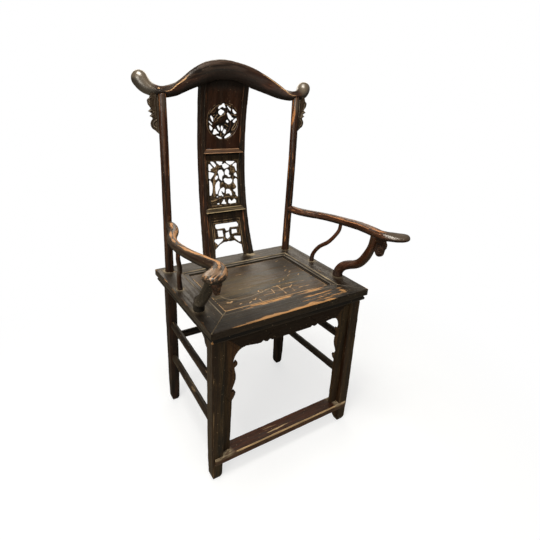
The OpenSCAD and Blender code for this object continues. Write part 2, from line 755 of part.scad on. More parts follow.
// Cross rail: a tenoned core with a hipped ledge standing off the splat's face
rail_ledge = 9;
rail_horn = 11;
function rail_end(side, x, z) = [
    [side * (x + rail_horn), splat_face(z) + 6, z], [side * (x + rail_horn), splat_face(z) - rail_ledge, z],
    [side * (x + rail_horn), splat_face(z) - rail_ledge, z + 2],
    [side * x, splat_face(z + splat_rail_height) + 6, z + splat_rail_height]
];
module cross_rail(z) {
    reach = splat_inner(z) - fit_gap;
    low_y = splat_face(z);
    core_back = low_y + splat_panel_setback + splat_panel_thick;
    placed() difference() {
        union() {
            cross_rail_core(z, 0);
            translate([-reach, low_y + 2, z]) cube([2 * reach, core_back - low_y - 2, splat_rail_height]);
            skin([rail_end(-1, reach, z), rail_end(1, reach, z)]);
        }
        difference() {
            bowed(z - 20, z + 40, -fit_gap, 40, splat_half + 60);
            cross_rail_core(z, 0);
            translate([-reach, low_y - 30, z - 1]) cube([2 * reach, 80, splat_rail_height + 2]);
        }
    }
}
module splat_upper_rail() { color(brown) cross_rail(high_rail_z); }
module splat_lower_rail() { color(brown) cross_rail(low_rail_z); }

// Panel blank between two heights, with a tongue at each side
module panel_blank(z0, z1) {
    intersection() {
        bowed(z0, z1, splat_panel_setback, splat_panel_thick, splat_half + 40);
        panel_outline(z0, z1, tongue);
    }
}
// Cuts a list of outlines, drawn as x and z round a point, through the splat
module pierced(outlines, z, scale_x = 1, scale_z = 1) {
    for (o = outlines)
        plate([for (p = o) [p[0] * scale_x, z + p[1] * scale_z]], through_y, through);
}
// Openings of the round medallion: leaves and sprays round a perching bird
medallion_openings = [
    [[-15, 49], [-20, 42], [-15, 37], [-10, 42], [-4, 46], [2, 43], [11, 41], [3, 56], [-3, 56], [-8, 51]],
    [[-18, 32], [-18, 26], [-10, 19], [-4, 19], [-1, 24], [5, 28], [5, 32], [-9, 39]],
    [[18, 41], [27, 32], [29, 33], [30, 38], [15, 50], [12, 51]],
    [[37, 28], [45, 22], [53, 26], [38, 39], [33, 38]],
    [[20, 10], [31, 0], [35, 6], [40, 6], [42, 10], [33, 12], [34, 15], [25, 23], [17, 29], [14, 26]],
    [[45, 8], [37, 0], [41, -6], [46, -5], [55, 5], [53, 10]],
    [[24, -2], [19, 4], [15, 4], [11, 0], [17, -5], [21, -5]],
    [[-46, 12], [-40, 1], [-34, -3], [-34, 9], [-41, 17], [-47, 18]],
    [[-42, -11], [-37, -12], [-38, -9], [-49, 1], [-53, 0]],
    [[-48, -21], [-43, -31], [-38, -28], [-35, -22], [-45, -13], [-49, -12]],
    [[-21, -18], [-15, -28], [-9, -32], [-8, -24], [-14, -14], [-21, -14]],
    [[-7, -22], [-6, -30], [0, -32], [5, -24], [-1, -14], [-6, -15]],
    [[4, -28], [1, -36], [8, -41], [13, -39], [15, -29], [8, -25]],
    [[-34, -34], [-36, -38], [-36, -41], [-28, -43], [-20, -40], [-10, -39], [-18, -33], [-25, -25],
     [-32, -25]],
    [[-14, -55], [-3, -57], [1, -56], [-6, -52], [-17, -48], [-27, -46]],
    [[15, -56], [31, -48], [34, -44], [29, -38], [20, -42], [9, -50], [7, -55]]
];
medallion_drawn = 57;
// A shallow ring is sunk round the openwork: its inner and outer gap to the openings, and its depth
ring_gap = [0.5, 2.5];
ring_depth = 1.2;
module medallion_ring() {
    z = seat_height + medallion_z;
    reach = medallion_radius + 20;
    intersection() {
        bowed(z - reach, z + reach, splat_panel_setback - reach, reach + ring_depth, reach);
        translate([0, through_y + through, z]) rotate([90, 0, 0]) difference() {
            cylinder(r = medallion_radius + ring_gap[1], h = through, $fn = 40);
            cylinder(r = medallion_radius + ring_gap[0], h = through, $fn = 40);
        }
    }
}
module splat_top_panel() {
    z1 = splat_top_z + splat_socket;
    drawn = medallion_radius / medallion_drawn;
    color(brown) placed() difference() {
        panel_blank(high_rail_z + splat_rail_height, z1);
        medallion_ring();
        pierced(medallion_openings, seat_height + medallion_z, drawn, drawn);
    }
}
// Openwork of a deer under a pine tree, on rocks
scene_openings = [
    [[-53, 45], [-47, 40], [-43, 43], [-43, 49], [-36, 51], [-36, 53], [-47, 65], [-53, 66]],
    [[-40, 64], [-30, 54], [-27, 53], [-22, 60], [-34, 73], [-47, 74]],
    [[-20, 67], [-10, 59], [-1, 61], [3, 71], [-25, 74]],
    [[15, 68], [24, 62], [33, 59], [44, 64], [51, 71], [13, 73]],
    [[51, 66], [41, 61], [39, 56], [47, 53], [54, 35], [60, 38], [60, 62]],
    [[0, 54], [8, 46], [16, 49], [24, 51], [28, 55], [10, 67], [-1, 62]],
    [[-15, 43], [-19, 38], [-15, 27], [-13, 15], [-4, 6], [0, 6], [-1, 13], [1, 21], [7, 26], [6, 34],
     [-2, 44], [-10, 44]],
    [[-23, 10], [-16, 17], [-17, 24], [-25, 26], [-31, 20], [-31, 14]],
    [[10, 41], [8, 34], [9, 27], [16, 25], [22, 18], [31, 17], [34, 21], [29, 23], [26, 28], [28, 33],
     [27, 40], [18, 46], [13, 44]],
    [[-53, 18], [-45, 14], [-33, 27], [-30, 33], [-53, 40]],
    [[46, 30], [44, 23], [56, 16], [61, 15], [60, 21], [53, 33]],
    [[3, 9], [7, 1], [20, -8], [30, -8], [38, -2], [40, 5], [34, 12], [20, 12], [8, 15], [3, 12]],
    [[43, -3], [47, -8], [53, -18], [46, -26], [39, -27], [42, -33], [48, -36], [49, -46], [56, -54],
     [61, -52], [60, 6], [52, 12], [44, 9]],
    [[-53, -40], [-46, -42], [-41, -32], [-38, -14], [-40, 0], [-47, 10], [-52, 11]],
    [[-26, 1], [-32, -12], [-31, -26], [-29, -36], [-22, -39], [-17, -27], [-11, -19], [-12, -9], [-10, 1],
     [-17, 8]],
    [[-11, -21], [-17, -31], [-20, -42], [-12, -46], [-6, -44], [-3, -49], [2, -47], [-4, -39], [-6, -28],
     [1, -36], [6, -36], [8, -22], [1, -15]],
    [[11, -42], [18, -39], [24, -40], [30, -49], [36, -46], [34, -35], [25, -24], [14, -23], [10, -26]],
    [[-27, -48], [-19, -50], [-19, -47], [-28, -45]],
    [[-26, -73], [-17, -75], [-16, -70], [-27, -69]],
    [[9, -76], [11, -73], [6, -67], [6, -61], [0, -58], [-11, -72]],
    [[27, -76], [38, -75], [50, -75], [51, -67], [42, -59], [31, -67], [24, -58], [18, -62], [17, -72]]
];
scene_z = (low_rail_z + splat_rail_height + high_rail_z) / 2 - 9;
scene_drawn_height = 185;
scene_drawn_half = 64;
module splat_middle_panel() {
    z0 = low_rail_z + splat_rail_height;
    z1 = high_rail_z;
    color(brown) placed() difference() {
        panel_blank(z0, z1);
        pierced(scene_openings, scene_z, (splat_half - splat_stile_width) / scene_drawn_half,
            (z1 - z0) / scene_drawn_height);
    }
}
// Lattice of two squares over an arch, open down to the seat
lattice_openings = [
    [[-42, 105], [-35, 99], [-6, 100], [-1, 89], [11, 90], [16, 100], [46, 99], [50, 101], [51, 107],
     [44, 116], [-39, 117], [-43, 114]],
    [[-34, 73], [-13, 71], [-15, 93], [-36, 95]],
    [[20, 76], [44, 78], [42, 91], [20, 93]],
    [[-6, 68], [3, 61], [13, 67], [10, 87], [-5, 83]],
    [[-52, 60], [-38, 45], [-17, 58], [-15, 65], [-50, 67]],
    [[30, 61], [45, 48], [51, 44], [55, 47], [56, 65], [27, 69]],
    [[-33, 46], [-44, 38], [-52, 32], [-56, -1], [59, -1], [56, 34], [44, 41], [32, 49], [27, 53], [12, 52],
     [0, 54], [-4, 52], [-14, 53]]
];
lattice_drawn_height = 160;
module splat_lower_panel() {
    color(brown) placed() difference() {
        panel_blank(seat_height, low_rail_z);
        pierced(lattice_openings, seat_height, (splat_half - splat_stile_width) / scene_drawn_half,
            splat_low_rail_z / lattice_drawn_height);
    }
}

// Crest rail: keys of its right half, as x, y, z, half depth, half height, the arris's turn,
// how far the planed top is rounded off again, and the height of the top's back edge as a share
crest_keys_right = [
    [0, crest_mid_y, crest_top_z - crest_half, crest_depth / 2, crest_half, 62, 0, 0.98],
    [60, crest_mid_y - 4.5, crest_top_z - 41, crest_depth / 2, 31.5, 66, 0, 0.92],
    [105, crest_mid_y - 14, crest_top_z - 56, crest_depth / 2 - 2, 31, 72, 0, 0.68],
    [150, crest_mid_y - 29, crest_top_z - 75, crest_depth / 2 - 3, 26.5, 72, 0, 0.6],
    [188, crest_mid_y - 47, crest_top_z - 93, crest_depth / 2 - 4, 21.5, 52, 0, 0.8],
    [post_x - 18, crest_post_y + 6, crest_at_post_z + 1, 19, 17.5, 8, 0, 0.98],
    [post_x + 6, crest_post_y, crest_at_post_z, 18.5, 17.5, 4, 0, 0.98],
    [post_x + 27, crest_post_y + 6, crest_at_post_z + 5, 19.5, 19, 6, 0.4, 0.98],
    [tip_x - 11, crest_post_y + 16, crest_at_post_z + 16, tip_radius - 1.5, tip_radius - 1.5, 10, 0.8, 0.98],
    [tip_x, crest_post_y + 24, crest_at_post_z + 32, tip_radius, tip_radius, 14, 1, 0.98]
];
crest_steps = 3;
crest_sides = 22;
crest_top_share = 9;
// The hand-cut rail isn't quite even: at each key, how much lower its left side's top is,
// and how much lower its right side stands
left_top_drop = [0, 0, 4, 9, 4, 0, 0, 0, 0, 0];
right_drop = [0, 0, 0, 0, 0, 0, 0, 0, 4, 9];
function left_key(k, drop) = [-k[0], k[1], k[2] - drop / 2, k[3], k[4] - drop / 2, k[5], k[6], k[7]];
function right_key(k, drop) = [k[0], k[1], k[2] - drop, k[3], k[4], k[5], k[6], k[7]];
crest_last = len(crest_keys_right) - 1;
crest_keys = concat(
    [for (i = [crest_last : -1 : 1]) left_key(crest_keys_right[i], left_top_drop[i])],
    [for (i = [0 : crest_last]) right_key(crest_keys_right[i], right_drop[i])]
);
crest_path = spline(crest_keys, crest_steps);
// Angles round the section, starting at the arris on the face and passing over the top to the back
function crest_angle(j, a) = j <= crest_top_share
    ? a + (180 - a) * j / crest_top_share
    : 180 + (180 + a) * (j - crest_top_share) / (crest_sides - crest_top_share);
// Section of the crest rail: an oval with a full lower part, planed flat on top behind the arris
crest_fullness = 0.3;
crest_back_share = 0.35;
function full(c, rounded) = sign(c) * pow(abs(c), 1 - crest_fullness * (1 - rounded));
function crest_ring(k, t) =
    let (u = unit(cross(t, [0, 1, 0])), v = cross(u, t), a = k[5],
         front = -k[3] * cos(a), back = k[3] * crest_back_share, arris = k[4] * sin(a), crown = k[4] * k[7])
    [for (j = [0 : crest_sides - 1])
        let (q = crest_angle(j, a), z = k[4] * sin(q),
             y = -k[3] * (q > 180 ? full(cos(q), k[6]) : cos(q)),
             planed = q < 180 && y < back ? arris + (crown - arris) * (y - front) / (back - front)
                 : q < 180 ? min(z, crown) : z)
        xyz(k) + y * v + (planed + k[6] * (z - planed)) * u];
crest_rings = [for (i = [0 : len(crest_path) - 1]) crest_ring(crest_path[i], heading(crest_path, i))];
// Rounded end that closes a bulb
function end_cap(k, t, side) = [for (c = [0.42, 0.75, 0.96])
    let (q = xyz(k) + t * side * tip_radius * c, r = sqrt(1 - c * c))
    crest_ring([q[0], q[1], q[2], k[3] * r, k[4] * r, k[5], k[6], k[7]], t)];
// The chair stands so that its box's middle, front to back, lies over the origin
front_y = min([for (r = arm_rings) min([for (p = r) p[1]])]);
crest_back_y = max([for (r = crest_rings) max([for (p = r) p[1]])]);
stile_rows = rows(seat_height, splat_top_z + splat_socket);
stile_back_y = splat_stile_depth + max([for (z = stile_rows) splat_face(z)]);
back_y = max(crest_back_y, stile_back_y);
origin_y = (front_y + back_y) / 2;

crest_end = crest_path[len(crest_path) - 1];
crest_start = crest_path[0];
end_heading = heading(crest_path, len(crest_path) - 1);
start_heading = heading(crest_path, 0);
start_cap = end_cap(crest_start, start_heading, -1);
module crest_stock() {
    skin(concat([for (i = [2 : -1 : 0]) start_cap[i]], crest_rings, end_cap(crest_end, end_heading, 1)));
}
// How far the socket cutters run down, past the crest's underside
socket_reach = 60;
module post_socket() {
    crest_tenon(fit_gap);
    translate([post_at(post_top_z)[0], post_at(post_top_z)[1], post_top_z - socket_reach])
        cylinder(r = post_radius + fit_gap, h = socket_reach);
}
module splat_socket_cut() {
    edge = splat_edge(splat_top_z) + fit_gap + 1;
    low = splat_top_z - socket_reach;
    high = splat_top_z + splat_socket;
    intersection() {
        bowed(low, high + fit_gap, -fit_gap, splat_stile_depth + 2 * fit_gap, splat_half + 40);
        plate([[-edge, low], [edge, low], [edge, high], [-edge, high]], through_y, through);
    }
}
module crest_rail() {
    color(worn) placed() difference() {
        crest_stock();
        post_socket();
        left_side() post_socket();
        splat_socket_cut();
    }
}

// Carved ear outside each post, under the crest rail
module ear() {
    y = post_at(ear_top_z - ear_height / 2)[1] - ear_thick / 2;
    x0 = post_x - 4;
    x1 = post_x + post_radius + ear_width - 4;
    z = ear_low_z;
    h = ear_height;
    outline = concat(
        [[x0, z + 4], [x0 + post_radius + 4, z]],
        arc([x1 - 25.5, z + 0.27 * h], 18, -70, 50, 8),
        [[x1 - 13, z + 0.44 * h], [x1 - 5, z + 0.475 * h], [x1 - 13, z + 0.54 * h], [x1 - 1, z + 0.6 * h],
         [x1 - 10, z + 0.67 * h], [x1 - 2, z + 0.77 * h]],
        arc([x1 - 8, z + 0.86 * h], 8, -20, 80, 4),
        [[x1 - 12, z + h + 8], [x0, z + h + 8]]
    );
    difference() {
        plate(outline, y, ear_thick);
        skin(oval_rings([for (p = post_path) concat(xyz(p), [p[3] + fit_gap, p[4] + fit_gap])],
            [0, 1, 0], post_sides));
        crest_shadow();
    }
}
// The crest rail with its clearance, cut away from the ears
module crest_shadow() {
    n = len(crest_path);
    skin([for (i = [n - 16 : n - 1])
        let (k = crest_path[i])
        crest_ring([k[0], k[1], k[2], k[3] + fit_gap, k[4] + fit_gap, k[5], k[6], k[7]],
            heading(crest_path, i))]);
}
module right_crest_ear() { color(brown) placed() ear(); }
module left_crest_ear() { color(brown) placed() left_side() ear(); }

// Arms
module arm_stock() { skin(arm_rings); }
module head_cut(head, radius, z, grow) {
    translate([head[0], head[1], z - 60]) cylinder(r = radius + grow, h = 60);
}
module head_pin(head, z, grow) {
    translate([head[0], head[1], z - tiny]) cylinder(r = 5 + grow, h = head_tenon + grow + tiny);
}
// Heights at which the goose-neck and the spindle are let into the arm's underside
goose_seat_z = goose_head[2] - 8;
spindle_seat_z = spindle_head[2] - 9;
module arm() {
    placed() union() {
        difference() {
            arm_stock();
            translate([post_x, post_y, arm_z - 60]) cylinder(r = post_radius + fit_gap, h = 120);
            head_cut(goose_head, goose_head_radius, goose_seat_z, fit_gap);
            head_pin(goose_head, goose_seat_z, fit_gap);
            head_cut(spindle_head, spindle_head_radius, spindle_seat_z, fit_gap);
            head_pin(spindle_head, spindle_seat_z, fit_gap);
        }
        arm_tenon(0);
    }
}
module right_arm() { color(worn) arm(); }
module left_arm() { color(worn) left_side() arm(); }

// Goose-neck: an S from the seat's side rail, forward and up to the arm
neck_rise = goose_seat_z - seat_height;
goose_steps = 3;
goose_sides = 16;
goose_keys = [
    [foot_x, goose_foot_y, seat_height, goose_radius, goose_radius],
    [foot_x + 1, goose_foot_y - 2, seat_height + 0.1 * neck_rise, goose_radius - 0.5, goose_radius - 0.5],
    [foot_x + 5, goose_foot_y - 14, seat_height + 0.21 * neck_rise, goose_radius - 1, goose_radius - 1],
    [foot_x + 12, goose_foot_y - 32, seat_height + 0.275 * neck_rise, goose_radius - 1.5, goose_radius - 1.5],
    [foot_x + 20, goose_foot_y - 52, seat_height + 0.32 * neck_rise, goose_radius - 2, goose_radius - 2],
    [foot_x + 24, goose_foot_y - 70, seat_height + 0.4 * neck_rise, goose_radius - 2, goose_radius - 2],
    [foot_x + 22, goose_head[1] + 24, seat_height + 0.55 * neck_rise, goose_radius - 2, goose_radius - 2],
    [goose_head[0] + 1, goose_head[1] + 6, seat_height + 0.76 * neck_rise,
     goose_head_radius, goose_head_radius],
    [goose_head[0], goose_head[1], seat_height + 0.93 * neck_rise, goose_head_radius, goose_head_radius],
    [goose_head[0], goose_head[1], goose_seat_z, goose_head_radius, goose_head_radius]
];
// Rings of an upright piece, with level rings at its two ends
function upright_rings(keys, steps, sides) =
    let (path = spline(keys, steps), rings = oval_rings(path, [1, 0, 0], sides), n = len(path))
    [for (i = [0 : n - 1]) i == 0 || i == n - 1 ? flat_ring(rings[i], path[i][2]) : rings[i]];
function flat_ring(r, z) = [for (p = r) [p[0], p[1], z]];
module goose_neck() {
    placed() union() {
        skin(upright_rings(goose_keys, goose_steps, goose_sides));
        foot_tenon(goose_foot_y, 0);
        head_pin(goose_head, goose_seat_z, 0);
    }
}
module right_goose_neck() { color(dark) goose_neck(); }
module left_goose_neck() { color(dark) left_side() goose_neck(); }

spindle_rise = spindle_seat_z - seat_height;
spindle_keys = [
    [foot_x, spindle_foot_y, seat_height, spindle_radius + 1, spindle_radius + 1],
    [foot_x + 3, spindle_foot_y - 2, seat_height + 0.17 * spindle_rise, spindle_radius, spindle_radius],
    [foot_x + 11, spindle_foot_y - 22, seat_height + 0.37 * spindle_rise, spindle_radius, spindle_radius],
    [foot_x + 19, spindle_foot_y - 50, seat_height + 0.51 * spindle_rise, spindle_radius, spindle_radius],
    [foot_x + 27, spindle_head[1] + 17, seat_height + 0.66 * spindle_rise,
     spindle_radius - 0.5, spindle_radius - 0.5],
    [spindle_head[0] - 1, spindle_head[1] + 3, seat_height + 0.84 * spindle_rise,
     spindle_head_radius, spindle_head_radius],
    [spindle_head[0], spindle_head[1], spindle_seat_z, spindle_head_radius, spindle_head_radius]
];
module arm_spindle() {
    placed() union() {
        skin(upright_rings(spindle_keys, 3, 12));
        foot_tenon(spindle_foot_y, 0);
        head_pin(spindle_head, spindle_seat_z, 0);
    }
}
module right_arm_spindle() { color(dark) arm_spindle(); }
module left_arm_spindle() { color(dark) left_side() arm_spindle(); }

// Lobed bracket in front of the goose-neck, under the arm's end
module arm_bracket() {
    y = goose_head[1];
    z = goose_seat_z;
    outline = concat(
        [[y, z + 6], [y, z - 46]],
        arc([y - 26, z - 44], 15, -20, -170, 6),
        [[y - 43, z - 33], [y - 47, z - 27]],
        arc([y - 38, z - 18], 10, 200, 120, 4),
        [[y - 46, z + 6]]
    );
    difference() {
        side_plate(outline, goose_head[0] - arm_bracket_thick / 2, arm_bracket_thick);
        skin(upright_rings([for (k = goose_keys) concat(xyz(k), [k[3] + fit_gap, k[4] + fit_gap])],
            goose_steps, goose_sides));
        head_cut(goose_head, goose_head_radius, goose_seat_z + 30, fit_gap);
        skin(oval_rings([for (k = spline(arm_keys, arm_steps))
            concat(xyz(k), [k[3] + fit_gap, k[4] + fit_gap])], [0, 0, 1], arm_sides));
    }
}
module right_arm_bracket() { color(brown) placed() arm_bracket(); }
module left_arm_bracket() { color(brown) placed() left_side() arm_bracket(); }

crest_rail();
left_rear_post();
right_rear_post();
left_front_leg();
right_front_leg();
left_arm();
right_arm();
left_goose_neck();
right_goose_neck();
left_arm_spindle();
right_arm_spindle();
left_arm_bracket();
right_arm_bracket();
left_crest_ear();
right_crest_ear();
splat_left_stile();
splat_right_stile();
splat_upper_rail();
splat_lower_rail();
splat_top_panel();
splat_middle_panel();
splat_lower_panel();
seat_front_rail();
seat_back_rail();
seat_left_rail();
seat_right_rail();
seat_panel();
left_seat_batten();
right_seat_batten();
front_apron();
left_spandrel();
right_spandrel();
left_side_apron();
right_side_apron();
back_apron();
footrest();
left_upper_stretcher();
right_upper_stretcher();
left_lower_stretcher();
right_lower_stretcher();
back_stretcher();
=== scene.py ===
# %% [markdown]
# # An officials hat armchair in old lacquered wood
# The chair is a frame of dark lacquered sticks and boards, joined with tenons: a bowed crest rail with
# upturned ends like the wings on an official's hat, curved arms, a carved splat and a panelled seat.
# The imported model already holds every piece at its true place. Here each piece gets what years of use
# gave the real one: rounded arrises, dents, worn lacquer, grain and dust.

# %% Load the frame
import math

import bpy
import numpy as np
from mathutils import Matrix, Vector, noise


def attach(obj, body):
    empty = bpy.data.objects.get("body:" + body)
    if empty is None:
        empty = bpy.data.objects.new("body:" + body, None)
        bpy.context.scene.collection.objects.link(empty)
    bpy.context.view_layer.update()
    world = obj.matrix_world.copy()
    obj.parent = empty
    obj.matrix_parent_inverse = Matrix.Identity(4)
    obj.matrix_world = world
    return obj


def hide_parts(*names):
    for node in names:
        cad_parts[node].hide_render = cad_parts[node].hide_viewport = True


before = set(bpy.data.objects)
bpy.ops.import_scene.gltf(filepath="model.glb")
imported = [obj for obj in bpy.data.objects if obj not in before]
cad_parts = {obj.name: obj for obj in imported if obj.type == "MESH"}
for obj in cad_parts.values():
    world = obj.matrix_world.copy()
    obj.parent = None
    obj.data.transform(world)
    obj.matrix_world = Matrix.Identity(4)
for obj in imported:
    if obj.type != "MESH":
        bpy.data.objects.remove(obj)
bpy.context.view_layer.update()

# %% [markdown]
# ## Camera, floor and light
# The camera stands a little left of the chair and above it, as a person of middle height would.
# A wide lens near the chair makes the near arm and leg look larger, so its place matters as much as
# its direction. The axes are built from three angles: the turn, the tilt and a slight roll.

# %% Camera
eye = (-0.6472, -0.9773, 1.0924)
turn, tilt, roll = (math.radians(angle) for angle in (31.72, 21.25, 2.55))
ahead = Vector((math.sin(turn) * math.cos(tilt), math.cos(turn) * math.cos(tilt), -math.sin(tilt)))
side = Vector((math.cos(turn), -math.sin(turn), 0))
up = side.cross(ahead)
right = side * math.cos(roll) + up * math.sin(roll)
top = up * math.cos(roll) - side * math.sin(roll)
bpy.ops.object.camera_add()
camera = bpy.context.object
camera.matrix_world = Matrix([(right[i], top[i], -ahead[i], eye[i]) for i in range(3)] + [(0, 0, 0, 1)])
camera.data.sensor_width, camera.data.lens = 36, 27.03
camera.data.shift_x, camera.data.shift_y = 0.0370, -0.0463
camera.data.clip_start = 0.02
bpy.context.scene.camera = camera
bpy.context.scene.view_settings.view_transform = "Standard"
print("camera at", [round(v, 3) for v in camera.location])


# %% [markdown]
# Node trees are easier to read when each node is one short call. These helpers make a node, set its
# options, and fill each socket with a number, a colour or another node's output.

# %% Node helpers
def new_tree(holder):
    """Turns on the nodes of a material or a world, and clears them."""
    holder.use_nodes = True
    holder.node_tree.nodes.clear()
    return holder.node_tree


def fill(tree, made, sockets):
    for key, value in sockets.items():
        if isinstance(value, bpy.types.NodeSocket):
            tree.links.new(value, made.inputs[key])
        else:
            made.inputs[key].default_value = value
    return made


def put(tree, kind, sockets=None, **options):
    made = tree.nodes.new("ShaderNode" + kind)
    for name, value in options.items():
        setattr(made, name, value)
    return fill(tree, made, sockets or {})


# %% [markdown]
# The same few sums and patterns come up in every finish, so each has a short name of its own.

# %% Sums and patterns
def blend(tree, share, one, other):
    """Colour `one` turning into `other` where `share` goes from 0 to 1."""
    return put(tree, "Mix", {0: share, 6: one, 7: other}, data_type="RGBA").outputs[2]


def calc(tree, kind, a, b=0.0, c=0.0, clamp=False):
    """One Math node, such as SUBTRACT or MAXIMUM."""
    return put(tree, "Math", {0: a, 1: b, 2: c}, operation=kind, use_clamp=clamp).outputs[0]


def times(tree, a, b, clamp=False):
    return calc(tree, "MULTIPLY", a, b, clamp=clamp)


def times_plus(tree, a, b, c, clamp=False):
    """a times b, plus c."""
    return calc(tree, "MULTIPLY_ADD", a, b, c, clamp)


def ramp(tree, value, low, high, to_low=0.0, to_high=1.0):
    """Value stretched so that low gives to_low and high gives to_high, with soft ends."""
    made = put(tree, "MapRange", {"Value": value, "From Min": low, "From Max": high,
                                  "To Min": to_low, "To Max": to_high},
               interpolation_type="SMOOTHSTEP")
    return made.outputs["Result"]


def cloud(tree, place, scale, detail, roughness, distortion=0.0):
    """Soft noise at a place."""
    return put(tree, "TexNoise", {"Vector": place, "Scale": scale, "Detail": detail,
                                  "Roughness": roughness, "Distortion": distortion}).outputs[0]


def seen(tree):
    """1 for rays from the camera, straight or through something clear, and 0 for all others."""
    rays = put(tree, "LightPath").outputs
    return calc(tree, "MAXIMUM", rays["Is Camera Ray"], rays["Is Transmission Ray"])


# %% [markdown]
# The floor is pale and only has to carry the shadow. For the camera most of its light is its own,
# so the room looks white, while the chair's shadow still shows softly near its feet. Further out the
# floor is as white as the room, so no horizon shows. The chair itself sees a dimmer floor and room,
# as dark lacquer that mirrored a white studio would turn milky.

# %% Floor and room
white = (1, 1, 1, 1)
bpy.ops.object.select_all(action="DESELECT")
bpy.ops.mesh.primitive_plane_add(size=40)
floor = bpy.context.object
floor.name = "studio_floor"
paper = bpy.data.materials.new("studio_paper")
tree = new_tree(paper)
dim = put(tree, "BsdfDiffuse", {"Color": (0.30, 0.265, 0.21, 1)})
pale = put(tree, "BsdfDiffuse", {"Color": (0.38, 0.40, 0.43, 1)})
own_light = put(tree, "Emission", {"Color": white, "Strength": 0.66})
close = put(tree, "AddShader", {0: pale.outputs[0], 1: own_light.outputs[0]})
distant = put(tree, "Emission", {"Color": white, "Strength": 1.0})
spot = put(tree, "TexCoord").outputs["Object"]
away = put(tree, "VectorMath", {0: spot}, operation="LENGTH").outputs["Value"]
further = ramp(tree, away, 0.5, 1.3)
shown = put(tree, "MixShader", {0: further, 1: close.outputs[0], 2: distant.outputs[0]})
both = put(tree, "MixShader", {0: seen(tree), 1: dim.outputs[0], 2: shown.outputs[0]})
put(tree, "OutputMaterial", {"Surface": both.outputs[0]})
floor.data.materials.append(paper)

world = bpy.data.worlds.new("studio_room")
bpy.context.scene.world = world
tree = new_tree(world)
backdrop = put(tree, "Background", {"Color": white, "Strength": 1.0})
room = put(tree, "Background", {"Color": (1.0, 0.95, 0.86, 1), "Strength": 0.17})
both = put(tree, "MixShader", {0: seen(tree), 1: room.outputs[0], 2: backdrop.outputs[0]})
put(tree, "OutputWorld", {"Surface": both.outputs[0]})


# %% [markdown]
# Three soft boxes light the chair: a large one above, a broad one behind that draws a rim along the
# rails, and one from the front left. All are a little warm, as the photographed wood is.

# %% Lamps
def softbox(name, place, aim, size, watts, colour):
    bpy.ops.object.light_add(type="AREA", location=place)
    lamp = bpy.context.object
    lamp.name = name
    lamp.data.shape = "RECTANGLE"
    lamp.data.size, lamp.data.size_y = size
    lamp.data.energy = watts
    lamp.data.color = colour
    lamp.rotation_euler = (Vector(aim) - Vector(place)).to_track_quat("-Z", "Y").to_euler()


softbox("ceiling_box", (-0.5, -0.3, 2.7), (0, 0, 0.7), (1.2, 0.9), 52, (1.0, 0.94, 0.83))
softbox("rear_box", (1.0, 2.3, 1.9), (0.05, 0, 0.6), (2.6, 1.3), 24, (1.0, 0.90, 0.76))
softbox("front_box", (-1.9, -1.2, 1.5), (0, 0, 0.7), (0.9, 1.3), 24, (1.0, 0.92, 0.79))

# %% [markdown]
# ## Shader groups
# Four effects come back in many finishes, so each is a node group. They give masks and
# values only, and each material mixes its own colours with them. One helper makes a group with its
# named sockets, and the other places it in a material.

# %% Making and using groups
def new_group(name, ins, outs):
    group = bpy.data.node_groups.new(name, "ShaderNodeTree")
    for label, kind, value in ins:
        socket = group.interface.new_socket(label, in_out="INPUT", socket_type="NodeSocket" + kind)
        if value is not None:
            socket.default_value = value
    for label in outs:
        group.interface.new_socket(label, in_out="OUTPUT", socket_type="NodeSocketFloat")
    group_in, group_out = group.nodes.new("NodeGroupInput"), group.nodes.new("NodeGroupOutput")
    return group, group_in.outputs, group_out.inputs


def use(tree, group, **sockets):
    made = tree.nodes.new("ShaderNodeGroup")
    made.node_tree = group
    return fill(tree, made, sockets).outputs


# %% [markdown]
# **Long grain**: wood fibres run along the stick. The pattern is noise that is squeezed across
# the piece and stretched along it. Every piece carries an attribute called grain, whose first
# number runs along the wood, so the streaks follow even a bowed arm.

# %% Long grain
long_grain, gin, gout = new_group("long_grain", [
    ("Along", "Vector", None), ("Scale", "Float", 90.0), ("Stretch", "Float", 12.0)],
    ["Streaks", "Fibres", "Cloud"])
parts = put(long_grain, "SeparateXYZ", {0: gin["Along"]}).outputs
slow = calc(long_grain, "DIVIDE", parts[0], gin["Stretch"])
slower = times(long_grain, slow, 0.45)
flow, thin_flow = (put(long_grain, "CombineXYZ", {0: run, 1: parts[1], 2: parts[2]}).outputs[0]
                   for run in (slow, slower))
coarser, finer = (times(long_grain, gin["Scale"], share) for share in (0.14, 6.5))
for label, layer, low, high in (
        ("Streaks", cloud(long_grain, flow, gin["Scale"], 4.0, 0.6, 0.35), 0.42, 0.60),
        ("Fibres", cloud(long_grain, thin_flow, finer, 3.0, 0.55), 0.35, 0.68),
        ("Cloud", cloud(long_grain, flow, coarser, 3.0, 0.55), 0.35, 0.65)):
    long_grain.links.new(ramp(long_grain, layer, low, high), gout[label])
print("group:", long_grain.name)

# %% [markdown]
# **Worn edge**: hands and cloth rub the lacquer off the arrises first. Each piece carries an
# attribute called arris that is 1 on its corners. Noise breaks the mask up, so the wear
# comes and goes as it does on old furniture.

# %% Worn edge
softness = 0.16
worn_edge, gin, gout = new_group("worn_edge", [
    ("Arris", "Float", 0.0), ("Place", "Vector", None), ("Amount", "Float", 0.5)], ["Wear"])
patchy = ramp(worn_edge, cloud(worn_edge, gin["Place"], 30.0, 5.0, 0.65), 0.32, 0.68)
need = calc(worn_edge, "SUBTRACT", 1.02, gin["Amount"])
low = calc(worn_edge, "MAXIMUM", calc(worn_edge, "SUBTRACT", need, softness), 0.04)
high = calc(worn_edge, "ADD", need, softness)
worn_edge.links.new(ramp(worn_edge, times(worn_edge, gin["Arris"], patchy), low, high), gout["Wear"])
print("group:", worn_edge.name)

